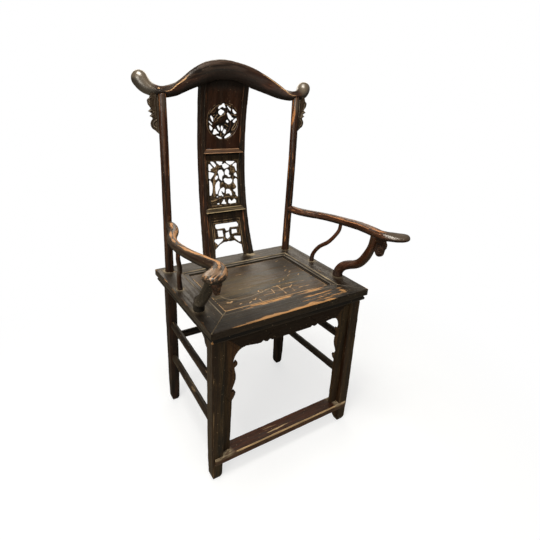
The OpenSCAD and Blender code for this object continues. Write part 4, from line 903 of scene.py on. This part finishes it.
# The raised line round the panel, the rails' inner lip and the groove between them
mould_x, mould_front, mould_back = 205.0, 67.0, 360.0
lip_x, lip_back = 191.5, 346.5
groove_x, groove_back = 200, 355
# Where each stick stands on the rails, and how wide it is there: x, y, radius
feet = [(236, 396, 15), (251, 258, 9), (251, 121, 13), (-236, 396, 15), (-251, 258, 9), (-251, 121, 13),
        (82, 403, 13), (-82, 403, 13)]
dirt_ring = 6.0
print("seat panel:", panel_right - panel_left, "by", panel_back - panel_front)

# %% Marks on the panel
# Scratches: a line, half its width and how bare it is
scratches = [
    ([(30, 156), (29, 128), (27, 100)], 1.5, 0.9), ([(0, 140), (-2, 126), (-5, 116)], 1.5, 0.8),
    ([(62, 130), (61, 102)], 1.3, 0.6), ([(60, 128), (70, 134), (78, 141)], 1.5, 0.9),
    ([(40, 150), (20, 152), (-20, 146)], 1.2, 0.6), ([(-20, 130), (20, 128), (48, 132)], 1.2, 0.6),
    (circle(-36, 146, 7.5, 20, 320, 14), 1.6, 0.9), ([(-103, 98), (-95, 102)], 2.6, 0.9),
    ([(-84, 112), (-78, 108), (-72, 114)], 1.4, 0.9), ([(-66, 104), (-65, 92)], 1.3, 0.9),
    ([(-160, 126), (-152, 122), (-145, 127)], 4, 0.85), ([(-132, 104), (-124, 107)], 1.6, 0.7),
    ([(132, 312), (144, 316)], 1.5, 0.9), ([(132, 262), (140, 264)], 1.7, 0.9),
    ([(114, 232), (126, 240)], 1.5, 0.9), ([(122, 218), (134, 226)], 2.2, 0.7),
    ([(100, 196), (116, 206)], 1.3, 0.8), ([(138, 188), (148, 197)], 1.4, 0.8),
    ([(50, 172), (56, 176)], 1.4, 0.8), ([(70, 178), (78, 184)], 1.3, 0.8),
    ([(-50, 276), (-34, 274), (-10, 279)], 1.3, 0.6), ([(-120, 204), (-96, 206)], 1.3, 0.6),
    ([(-50, 196), (-20, 198)], 1.2, 0.6), ([(60, 152), (140, 150)], 1.2, 0.5),
    ([(-90, 182), (-30, 184)], 1.2, 0.45), ([(110, 146), (150, 148)], 1.6, 0.5),
    ([(-40, 118), (-10, 119)], 1.2, 0.5),
]
# The rim of an old spill, and shallow dents with their radius
old_ring = [(-160, 168), (-155, 152), (-143, 139), (-126, 131), (-106, 128), (-80, 130), (-50, 135),
            (-26, 142), (0, 148)]
dents = [(-60, 224, 9), (20, 300, 12), (120, 120, 10), (-20, 170, 7), (150, 300, 8)]


# %% [markdown]
# The panel is scratched and dented where people sit, and smudged in front. Both of its near edges
# are rubbed bare, the far ones less. An old spill has left a broken ring. The far right corner is
# darkened with a painted reflection of the dark right post in the glossy panel.

# %% Seat panel
def work_panel(node, points, normals):
    x, y, _ = in_mm(points)
    y += front_y
    flat = np.stack([x, y], 1)
    top = normals[:, 2] > 0.4
    gap = np.maximum(step(x, panel_right, panel_right + 1.5), step(y, panel_back + 0.5, panel_back + 2))
    press(points, top, 7.0 * gap, (0, 0, -1))
    dented = sum(np.exp(-((x - a) ** 2 + (y - b) ** 2) / (2 * r * r)) for a, b, r in dents)
    press(points, top, 0.3 * dented, (0, 0, -1))
    near_rim = np.minimum(x - panel_left, y - panel_front)
    far_rim = np.minimum(panel_right - x, panel_back - y)
    border = np.minimum(near_rim, far_rim)
    shake = waves(points, 30)
    rub = most((1.25 + 0.9 * shake) * bead(near_rim, 1.8, 2.2),
               (0.95 + 0.9 * shake) * bead(far_rim, 1.0, 1.6))
    for line, width, bare in scratches:
        rub = most(rub, 1.6 * bare * step(width + 0.5 - reach(flat, line), 0, width))
    shaky = waves(points, 60) * 2.0
    arc = step(2.2 - reach(flat + shaky[:, None], old_ring), 0, 2.0)
    smudge = glow(x, 60, 130) * glow(y, 118, 24) * (0.35 + 0.45 * waves(points * (0.5, 3, 1), 90))
    rub = most(rub, np.clip(smudge, 0, 1) * 0.95)
    inside = 0.5 - ((x + 80) / 150) ** 2 - ((y - 200) / 95) ** 2
    dull = step(0.5 * waves(points, 9) + inside, -0.3, 0.6)
    # Painted reflection: the far right corner is darkened where the glossy panel mirrors the dark right post.
    painted_dark_corner = 0.5 * step(x + 30 * waves(points, 14), 40, 150) * step(y, 150, 290)
    # Painted shadow in the gap at the right and back edges, and on the panel's rim.
    side_gap = np.clip(gap + step(2.0 - border, 0, 1.0) * (border < 0.6), 0, 1)
    return {"rub": rub * top, "dusty": (0.6 * arc + 0.18 * dull) * top,
            "hollow": most(side_gap, painted_dark_corner) * (normals[:, 2] > -0.4)}


# %% [markdown]
# The front rail is worn most: along its edge, in streaks to the right, in one bald spot, and on the
# moulding before the panel. The back rail has one streaked place and the side rails are worn outside.

# %% Wear of the seat rails
def rubbed_rail(node, points, x, y, z, shake):
    """Where one rail's lacquer is rubbed off. The front rail is also nicked along its edge."""
    if node == "seat_front_rail":
        reach_in = 5.0 + 9.0 * glow(x, 10, 150) + 8 * shake
        edge = 1.1 * step(reach_in - y, 0, 6) * step(150 - np.abs(x + 20), -70, 30)
        streak = step(waves(points * (0.12, 1, 1), 240), -0.15, 0.25)
        streaked = glow(x, 110, 110) * glow(y, 30, 26) * (0.42 + 0.42 * streak)
        bald_spot = 0.8 * glow(x, 190, 14) * glow(y, 32, 20)
        band = step(y, mould_front - 1.5, mould_front + 0.5) * step(82.5 - y, 0, 2)
        band = band * step(178 - np.abs(x - 5), 0, 50)
        moulding = band * (0.92 + 0.5 * shake + 0.8 * waves(points * (0.15, 1, 1), 260))
        nicks = step(waves(points, 75), 0.25, 0.45) * step(3.0 - y, 0, 2.5) * (z > 505)
        press(points, nicks > 0, 1.1 * nicks, (0, 0.6, -0.8))
        return most(edge, streaked, bald_spot, moulding)
    if node == "seat_back_rail":
        streak = step(waves(points * (0.12, 1, 1), 150), 0.05, 0.45)
        return 0.62 * streak * glow(x, 90, 130) * glow(y, 388, 20)
    streak = step(waves(points * (1, 0.12, 1), 150), 0.0, 0.4)
    zone = glow(np.abs(x), 224, 16) * glow(y, 200, 90)
    return most(0.5 * streak * zone, step(np.abs(x), 266.5, 269) * (0.45 + 0.5 * shake))


# %% [markdown]
# Pale dirt gathers where a cloth doesn't reach: along the mouldings, in the mitres and round the feet
# of the sticks. The groove round the panel and the rails' inner walls are darkened with painted shade
# instead.

# %% Dirt of the seat rails
def dusty_rail(x, y, shake):
    beside = (y > 66) & (y < 362)
    between = np.abs(x) < mould_x + 1
    line = bead(np.abs(x), mould_x, 2.4) * beside
    for y_line in (mould_front, mould_back):
        line = most(line, bead(y, y_line, 2.0) * between)
    lip = most(bead(x, lip_x, 1.7) * (y > 84) * (y < 347), bead(y, lip_back, 1.7) * (np.abs(x) < 191))
    dusty = most(0.95 * line, 0.8 * lip) * (0.75 + 0.8 * shake)
    mitre = np.abs(x) - half_seat + np.where(y < 200, y, seat_deep - y)
    dusty = most(dusty, 0.8 * bead(mitre, 0, 2.2) * np.where(x < 0, 1, 0.35))
    for a, b, r in feet:
        away = np.hypot(x - a, y - b) + 2.0 * shake
        dusty = most(dusty, 0.95 * step(r + dirt_ring - away, 0, dirt_ring), 0.2 * step(r + 22 - away, 0, 20))
    return dusty


def work_rail(node, points, normals):
    x, y, z = in_mm(points)
    y += front_y
    top = (normals[:, 2] > 0.3) & (z > 510)
    shake = waves(points, 26)
    rub = rubbed_rail(node, points, x, y, z, shake)
    # Painted shade: the groove round the panel and the rails' inner walls go dark.
    groove = most(bead(x, groove_x, 3) * (y > 66) * (y < 362),
                  bead(y, groove_back, 3) * (np.abs(x) < groove_x))
    wall_x = (np.abs(x - 189) < 4) * (normals[:, 0] < -0.4)
    wall_y = (np.abs(y - 344) < 4) * (normals[:, 1] < -0.4)
    wall = (wall_x + wall_y) * (normals[:, 2] < 0.75)
    # Painted shade: the front left corner is darkened, where the seat takes no sheen.
    painted_dark_corner = 0.5 * glow(x, -190, 120) * glow(y, 30, 50) * (0.8 + 0.8 * shake)
    worn_front = step(6.0 - y, 0, 5) * (z < 512) * 0.25 * (node == "seat_front_rail")
    return {"rub": rub * top + worn_front * (normals[:, 1] < -0.5),
            "dusty": dusty_rail(x, y, shake) * top * (1 - wall),
            "hollow": most(wall, 0.85 * groove * top, painted_dark_corner * top)}


print("seat tools ready")


# %% [markdown]
# ## Arms, posts and crest
# Hands rest on the arms, so their top and inner side are worn to orange wood in one broad band,
# and the round ends are dished. The left end is bare round its polished dish, and the right one is
# polished all over. Polished places take a bronze tone that is partly a painted sheen. The crest's
# upturned ends are rubbed to a bronze shine, and the posts show bare streaks near the top. The
# undersides of the arms are darkened with painted shade.

# %% Arms
knob_x, knob_y = 296, -262


def work_arm(node, points, normals):
    hand = side_of(node)
    x, y, _ = in_mm(points, hand)
    nx, nz = hand * normals[:, 0], normals[:, 2]
    strong, bare_knob = (0.8, 1.0) if hand < 0 else (0.56, 0.3)
    shake = waves(points, 30)
    facing = 0.38 * -nx + 0.9 * nz
    band = strong * step(facing + 0.25 * shake, 0.45, 0.85) * step(175 - y, 0, 30)
    knob = step(52 - np.hypot(x - knob_x, y - knob_y), 0, 26)
    dish = glow(x, knob_x + 1, 25) * glow(y, knob_y - 2, 19) * (nz > 0.3)
    press(points, nz > 0.3, 2.6 * dish, (0, 0, -1))
    rough = step(waves(points, 120), 0.0, 0.5) * knob * (nz < 0.75) * (nz > -0.35)
    press(points, rough > 0, 1.3 * rough, (0, 0, -0.6))
    points -= normals * (0.0009 * rough)[:, None]
    patchy = knob * step(waves(points, 62) + 0.5 * nz, 0.0, 0.3) * (nz > -0.2)
    rub = most(band * (1 - 0.6 * knob), strong * patchy * (1 - dish) * bare_knob, 1.5 * dish * bare_knob)
    shiny = 0.8 * np.clip(dish * 1.6, 0, 1) if hand < 0 else 0.8 * knob * step(nz, -0.3, 0.2)
    # Painted shade: the underside of the arm goes dark.
    under = 0.75 * step(-nz + 0.3 * shake, -0.12, 0.5)
    return {"rub": rub, "polish": shiny, "hollow": most(0.8 * rough * (patchy < 0.4), under)}


# %% [markdown]
# The posts are rubbed on their inner front side in three places, by shoulders and by the hands that
# lift the chair, and below the seat they are darkened with painted shade. Their feet are worn round.

# %% Posts
foot_height, foot_inset = 0.016, 0.006


def round_foot(points, normals):
    """Wears the corners of a foot away, more and more towards the floor."""
    share = np.clip(1 - points[:, 2] / foot_height, 0, 1)
    inset = foot_inset * (1 - np.sqrt(1 - share ** 2))
    points[:, :2] -= normals[:, :2] * inset[:, None]


def work_post(node, points, normals):
    hand = side_of(node)
    z = points[:, 2] * 1000
    nx, ny = hand * normals[:, 0], normals[:, 1]
    shake = waves(points * (1, 1, 0.25), 60)
    inner = step(-nx * 0.8 - ny * 0.5 + 0.3 * shake, 0.45, 0.9)
    streak = step(waves(points * (1, 1, 0.07), 230), -0.2, 0.2)
    high_up = glow(z, 1000, 55) + 0.7 * glow(z, 850, 70) + 0.5 * glow(z, 640, 90)
    # The polished front near the top takes the bronze tone, partly a painted sheen.
    shine = step(-nx * 0.1 - ny * 0.9 + 0.2 * shake, 0.7, 1.0) * glow(z, 1040, 25)
    # Painted shade: the posts go dark below the seat.
    seat_shadow = 0.75 * step(500 - z, 0, 30)
    round_foot(points, normals)
    return {"rub": inner * high_up * streak * 1.1 + 0.3 * step(shake, 0.1, 0.4) * (1 - seat_shadow),
            "polish": shine, "hollow": seat_shadow * (0.75 + 0.8 * shake)}


# %% [markdown]
# The crest rail is bare along its front arris on both sides of the raised middle, where it is taken
# hold of, and darkened underneath with painted shade. Its upturned ends are polished, and their
# bronze tone is partly a painted sheen. The goose-necks and spindles under the arms are streaked on
# the faces that look up and forward.

# %% Crest and sticks
def work_crest(node, points, normals):
    out = np.abs(points[:, 0]) * 1000
    nz = normals[:, 2]
    # The polished ends take the bronze tone, partly a painted sheen.
    polish = step(out + 6 * waves(points, 25), 248, 272)
    near_post = glow(out, 240, 12) * (nz > 0.3) * step(waves(points, 70), 0.0, 0.3)
    ridge = glow(nz, 0.62, 0.10) * (normals[:, 1] < -0.2)
    arris = glow(out, 190, 70) * ridge * (1.5 + 0.4 * waves(points * (0.3, 1, 1), 60))
    # Painted shade: the underside and lower face of the crest go dark.
    under = 0.9 * step(-nz + 0.25 * waves(points * (0.3, 1, 1), 40), -0.35, 0.2)
    under = under * np.where(out < 255, 1, 0.85)
    return {"rub": most(1.2 * near_post, 1.3 * arris), "polish": polish * 0.95, "hollow": under}


def work_stick(node, points, normals):
    shake = waves(points, 45)
    facing = 0.6 * normals[:, 2] - 0.5 * normals[:, 1]
    foot = step(0.553 - points[:, 2], 0, 0.02) * step(points[:, 2], 0.519, 0.521)
    streak = step(waves(points * 0.3, 200), -0.1, 0.25)
    return {"rub": 0.95 * streak * step(facing + 0.5 * shake, 0.3, 0.8), "hollow": 0.5 * foot}


# %% [markdown]
# Ears under the crest and brackets under the arms are small carved leaves: a smooth field with a row of
# beads along the curved edge, and short slanting cuts at the hooks.

# %% Ears and brackets
belly, curl = (-253.5, 982.6), (-226, 664)
ear_beads = [(circle(*belly, 11.3, a, a, 1)[:1], 1.6, 1.5, 0.8) for a in range(104, 250, 18)]
ear_strokes = ear_beads + [
    (circle(*belly, 15, 100, 245, 20), 1, -1, 0), (circle(*belly, 7.4, 100, 250, 16), 0.9, -0.9, 0),
    ([(-276, 1046), (-269, 1040)], 1.5, 1.2, 0.8), ([(-277, 1040), (-268, 1035)], 1.5, 1.2, 0.8),
    ([(-273, 1034), (-266, 1030)], 1.4, 1.1, 0.7), ([(-269, 1028), (-262, 1024)], 1.4, 1.1, 0.7),
    ([(-277, 1018), (-269, 1020), (-262, 1016)], 1.6, 1.4, 0.9),
    ([(-273, 1005), (-266, 1007), (-260, 1002)], 1.5, 1.3, 0.8),
    (circle(-264, 1011, 3, 0, 360, 10), 1.3, 1.2, 0.7), (circle(-269, 1049, 5, 0, 250, 12), 1.2, 1, 0.6),
    ([(-256, 1062), (-258, 1040), (-256, 1018), (-257, 1000)], 1.5, 1, 0.55),
    ([(-252.2, 1064), (-252.2, 1010), (-252.2, 962)], 1, -1.1, 0),
    ([(-249.4, 1064), (-249.4, 960)], 1.9, 0.8, 0.45),
]
bracket_strokes = [
    (circle(*curl, 9, 60, 330, 16), 1.7, 1.4, 0.75), (circle(*curl, 3.6, 0, 360, 10), 1.8, 1.6, 0.8),
    ([(-240, 688), (-236, 676), (-238, 664)], 1.8, 1.3, 0.7),
    ([(-230, 690), (-220, 682), (-212, 684)], 1.6, 1.2, 0.6),
    ([(-236, 652), (-228, 646), (-218, 645)], 1.8, 1.2, 0.7),
    ([(-213, 672), (-210, 660), (-214, 650)], 1.4, 1.2, 0.6),
]


def work_ear(node, points, normals):
    flat = np.stack([-np.abs(points[:, 0]) * 1000, points[:, 2] * 1000], 1)
    face = np.abs(normals[:, 1]) > 0.45
    high, bare = strokes_on(flat, ear_strokes)
    points[:, 1] += (high - 1.0) * 0.001 * np.sign(normals[:, 1]) * face
    return {"rub": (bare + 0.15) * face, "hollow": face * step(-high, -0.1, 0.9) * 0.85}


def work_bracket(node, points, normals):
    flat = points[:, [1, 2]] * 1000
    face = np.abs(normals[:, 0]) > 0.45
    high, bare = strokes_on(flat, bracket_strokes)
    points[:, 0] += (high - 1.2) * 0.001 * np.sign(normals[:, 0]) * face
    edge = step(waves(points, 90), -0.1, 0.3) * 0.7 * ~face
    return {"rub": 0.5 * bare * face + edge, "hollow": face * step(-high, -0.3, 0.2) * 0.7}


print("carved tools ready")

# %% [markdown]
# ## Legs, apron, footrest and stretchers
# The front legs have a row of worn dots and a pale line along their faces, and the left one has an
# old knot. The apron and its long spandrels end in curled leaves with cut veins and a beaded edge.

# %% Apron and legs
side_cuts = [
    ([(211, 462), (200, 450), (185, 432)], 1, -0.8, 0.35),
    ([(205, 376), (196, 360), (188, 346)], 1, -0.9, 0.35),
    ([(212, 371), (203, 358), (196, 347)], 0.9, -0.8, 0.25),
    ([(212, 276), (201, 260), (190, 246)], 1, -0.9, 0.35),
    ([(206, 282), (197, 268), (189, 256)], 0.9, -0.7, 0.25),
    (circle(184, 374, 5.5, 120, 330, 12), 1.1, -1, 0.3), (circle(184, 276, 5, 120, 330, 12), 1.1, -1, 0.3),
]
arch_beads = [([(x, 441 + 3 * math.sin((x - 100) / 22))], 1.8, 0.9, 0.5) for x in range(96, 168, 6)]
apron_cuts = arch_beads + [
    ([(88, 444), (76, 455), (66, 461)], 1, -0.9, 0.35), ([(98, 432), (82, 448), (70, 453)], 0.9, -0.8, 0.3),
    ([(62, 446), (52, 442), (45, 432)], 1, -0.8, 0.35), ([(36, 442), (26, 436), (14, 437)], 0.9, -0.8, 0.3),
    ([(56, 434), (46, 436), (36, 432)], 0.9, 0.6, 0.3),
]
knot_x, knot_z = -243, 193


def work_apron(node, points, normals):
    flat = np.stack([np.abs(points[:, 0]) * 1000, points[:, 2] * 1000], 1)
    face = in_front(normals)
    high, bare = strokes_on(flat, apron_cuts if node == "front_apron" else side_cuts)
    press(points, face, -high, (0, 1, 0))
    return {"rub": bare * face, "hollow": face * step(-high, 0.2, 0.9) * 0.5}


def work_leg(node, points, normals):
    z = points[:, 2] * 1000
    face = in_front(normals)
    off_middle = np.abs(points[:, 0]) * 1000 - (242 + 2 * (1 - z / 483))
    dotted = bead(off_middle, -15, 1.2) * step(np.sin(z * 1.1), 0.1, 0.6) * step(300 - z, 0, 60)
    pale_line = bead(off_middle, 14, 1.6) * (0.55 + 0.6 * waves(points * (1, 1, 0.2), 80))
    rub = face * most(1.2 * dotted, 1.15 * pale_line)
    if side_of(node) < 0:
        knot = np.hypot((points[:, 0] * 1000 - knot_x) / 7.5, (z - knot_z) / 16)
        knot_line = bead(knot, 1, 0.16) + 0.5 * bead(knot, 0.55, 0.12)
        press(points, face, 0.35 * knot_line, (0, 1, 0))
        rub = most(rub, 0.6 * knot_line * face)
    round_foot(points, normals)
    foot = step(16 - z, 0, 14)
    return {"rub": rub + 0.25 * foot, "dusty": 0.25 * foot * (0.6 + waves(points, 60))}


# %% [markdown]
# The footrest is the most worn board of all: shoes have pressed a trough into its top and rubbed it
# bare, and its ends are ragged, dry and pale. The stretchers beside it are streaked on top.

# %% Footrest and stretchers
def work_footrest(node, points, normals):
    x, y, z = in_mm(points)
    top = normals[:, 2] > 0.5
    shake = waves(points, 30)
    press(points, top, 1.3 * glow(x, -40, 120) * glow(y, -178, 14), (0, 0, -1))
    mid_streak = glow(x, -25, 62) * glow(y - 0.05 * x, -186, 3.4)
    line = bead(y, -203, 1.9) * (z > 76.5) * step(x, -215, -130)
    soft = glow(x, -60, 120) * glow(y, -176, 20)
    rub = most(mid_streak * 1.3, line * 1.5, 0.3 * soft)
    end = step(np.abs(x) + 14 * shake, 192, 214) * step(z, 70, 76)
    face = in_front(normals) * (0.08 + 0.15 * shake)
    ragged = step(waves(points * (0.35, 1, 1), 170), -0.1, 0.3) * end
    press(points, top, 2.6 * ragged, (0, 0, -1))
    return {"rub": rub * (z > 70), "dusty": most(end * (0.3 + 0.6 * (1 - ragged)), face)}


def work_stretcher(node, points, normals):
    shake = waves(points * (1, 0.25, 1), 70)
    pale = step(normals[:, 2] * 0.7 + np.abs(normals[:, 0]) * 0.5 + 0.3 * shake, 0.75, 1.1)
    return {"rub": pale * step(waves(points * (1, 0.05, 1), 260), -0.1, 0.3)}


# %% [markdown]
# ## The pieces
# Each row below names a piece, the line that its grain follows, its finish, the size of its skin in
# metres, how often it is smoothed and the work that it gets. A stem such as `arm` stands for the
# left and the right piece, two stems share a row where they get the same work, and the right-hand
# line is mirrored for the left-hand piece.

# %% Middle lines, in metres
def crest_bow(x, power):
    return max(0.0, 1 - (abs(x) / 0.24) ** power)


lines = {
    "crest": [(x, 0.2145 + 0.0563 * crest_bow(x, 2), 1.071 + 0.068 * crest_bow(x, 1.6))
              for x in np.linspace(-0.30, 0.30, 33)],
    "post": [(0.231, 0.1818, 0.0), (0.233, 0.1888, 0.483), (0.2335, 0.1892, 0.70), (0.2348, 0.1925, 0.90),
             (0.236, 0.1988, 1.066)],
    "arm": [(0.236, 0.187, 0.682), (0.251, 0.104, 0.683), (0.269, 0.066, 0.684), (0.284, 0.023, 0.687),
            (0.291, -0.0385, 0.691), (0.287, -0.124, 0.699), (0.272, -0.2, 0.705), (0.268, -0.2214, 0.706),
            (0.2745, -0.24, 0.707), (0.294, -0.2655, 0.709), (0.318, -0.285, 0.71)],
    "goose": [(0.251, -0.0862, 0.515), (0.250, -0.088, 0.545), (0.256, -0.135, 0.580),
              (0.268, -0.165, 0.600), (0.272, -0.178, 0.640), (0.270, -0.196, 0.675),
              (0.2693, -0.1996, 0.705)],
    "spindle": [(0.251, 0.0508, 0.515), (0.252, 0.048, 0.560), (0.262, 0.01, 0.610),
                (0.275, -0.005, 0.640), (0.2879, -0.0348, 0.6906)],
    "splat": [(0.0, 0.1908, 0.52), (0.0, 0.235, 0.66), (0.0, 0.262, 0.8), (0.0, 0.2718, 0.93),
              (0.0, 0.262, 1.08)],
    "front_leg": [(0.244, -0.1852, 0.0), (0.242, -0.1732, 0.483)],
    "across": [(-0.3, 0.0, 0.5), (0.3, 0.0, 0.5)],
    "deep": [(0.23, -0.2, 0.5), (0.23, 0.2, 0.5)],
    "upright": [(0.2, -0.18, 0.0), (0.2, -0.18, 0.5)],
}

# %% How each piece is made
handled = [
    ("crest_rail", "crest", "crest_wood", 0.0024, 9, work_crest),
    ("rear_post", "post", "post_wood", 0.0020, 3, work_post),
    ("arm", "arm", "arm_wood", 0.0016, 5, work_arm),
    ("goose_neck", "goose", "arm_wood", 0.0018, 4, work_stick),
    ("arm_spindle", "spindle", "arm_wood", 0.0016, 3, work_stick),
    ("arm_bracket", "deep", "carved_wood", 0.0010, 2, work_bracket),
    ("crest_ear", "upright", "carved_wood", 0.0009, 2, work_ear),
    ("stile", "splat", "splat_frame_wood", 0.0014, 1, work_stile),
    ("splat_upper_rail splat_lower_rail", "across", "splat_frame_wood", 0.0011, 1, work_cross_rail),
    ("splat_top_panel", "splat", "splat_panel_wood", 0.0011, 1, work_splat),
    ("splat_middle_panel splat_lower_panel", "splat", "splat_panel_wood", 0.0010, 1, work_splat),
    ("seat_front_rail", "across", "seat_frame_wood", 0.0016, 1, work_rail),
    ("seat_back_rail", "across", "seat_frame_wood", 0.0018, 1, work_rail),
    ("seat_rail", "deep", "seat_frame_wood", 0.0017, 1, work_rail),
    ("seat_panel", "across", "seat_panel_wood", 0.0016, 1, work_panel),
    ("front_leg", "front_leg", "leg_wood", 0.0015, 1, work_leg),
    ("footrest", "across", "footrest_wood", 0.0016, 1, work_footrest),
    ("front_apron", "across", "apron_wood", 0.0014, 1, work_apron),
    ("spandrel", "upright", "apron_wood", 0.0013, 1, work_apron),
    ("upper_stretcher lower_stretcher", "deep", "stretcher_wood", 0.0018, 2, work_stretcher),
]
# The hidden or plain pieces have the width of their bevel instead
sawn = [
    ("side_apron", "deep", "apron_wood", 0.0009),
    ("seat_batten", "deep", "bare_wood", 0.0012),
    ("back_apron", "across", "apron_wood", 0.0009),
    ("back_stretcher", "across", "stretcher_wood", 0.0012),
]


def nodes_of(stems):
    """The CAD names that each stem stands for: one, or a left and a right."""
    found = []
    for stem in stems.split():
        found += sorted(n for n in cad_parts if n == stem
                        or n.replace("splat_", "").replace("left_", "").replace("right_", "") == stem)
    return found


def grain_line(node, line):
    return mirrored(lines[line]) if "left" in node else lines[line]


total = 0
for stems, line, slot, voxel, smooth, work in handled:
    for node in nodes_of(stems):
        total += place_piece(age_handled(node, grain_line(node, line), voxel, smooth, work), node, slot)
for stems, line, slot, width in sawn:
    for node in nodes_of(stems):
        total += place_piece(age_sawn(node, grain_line(node, line), width), node, slot)
print("faces in all:", total)
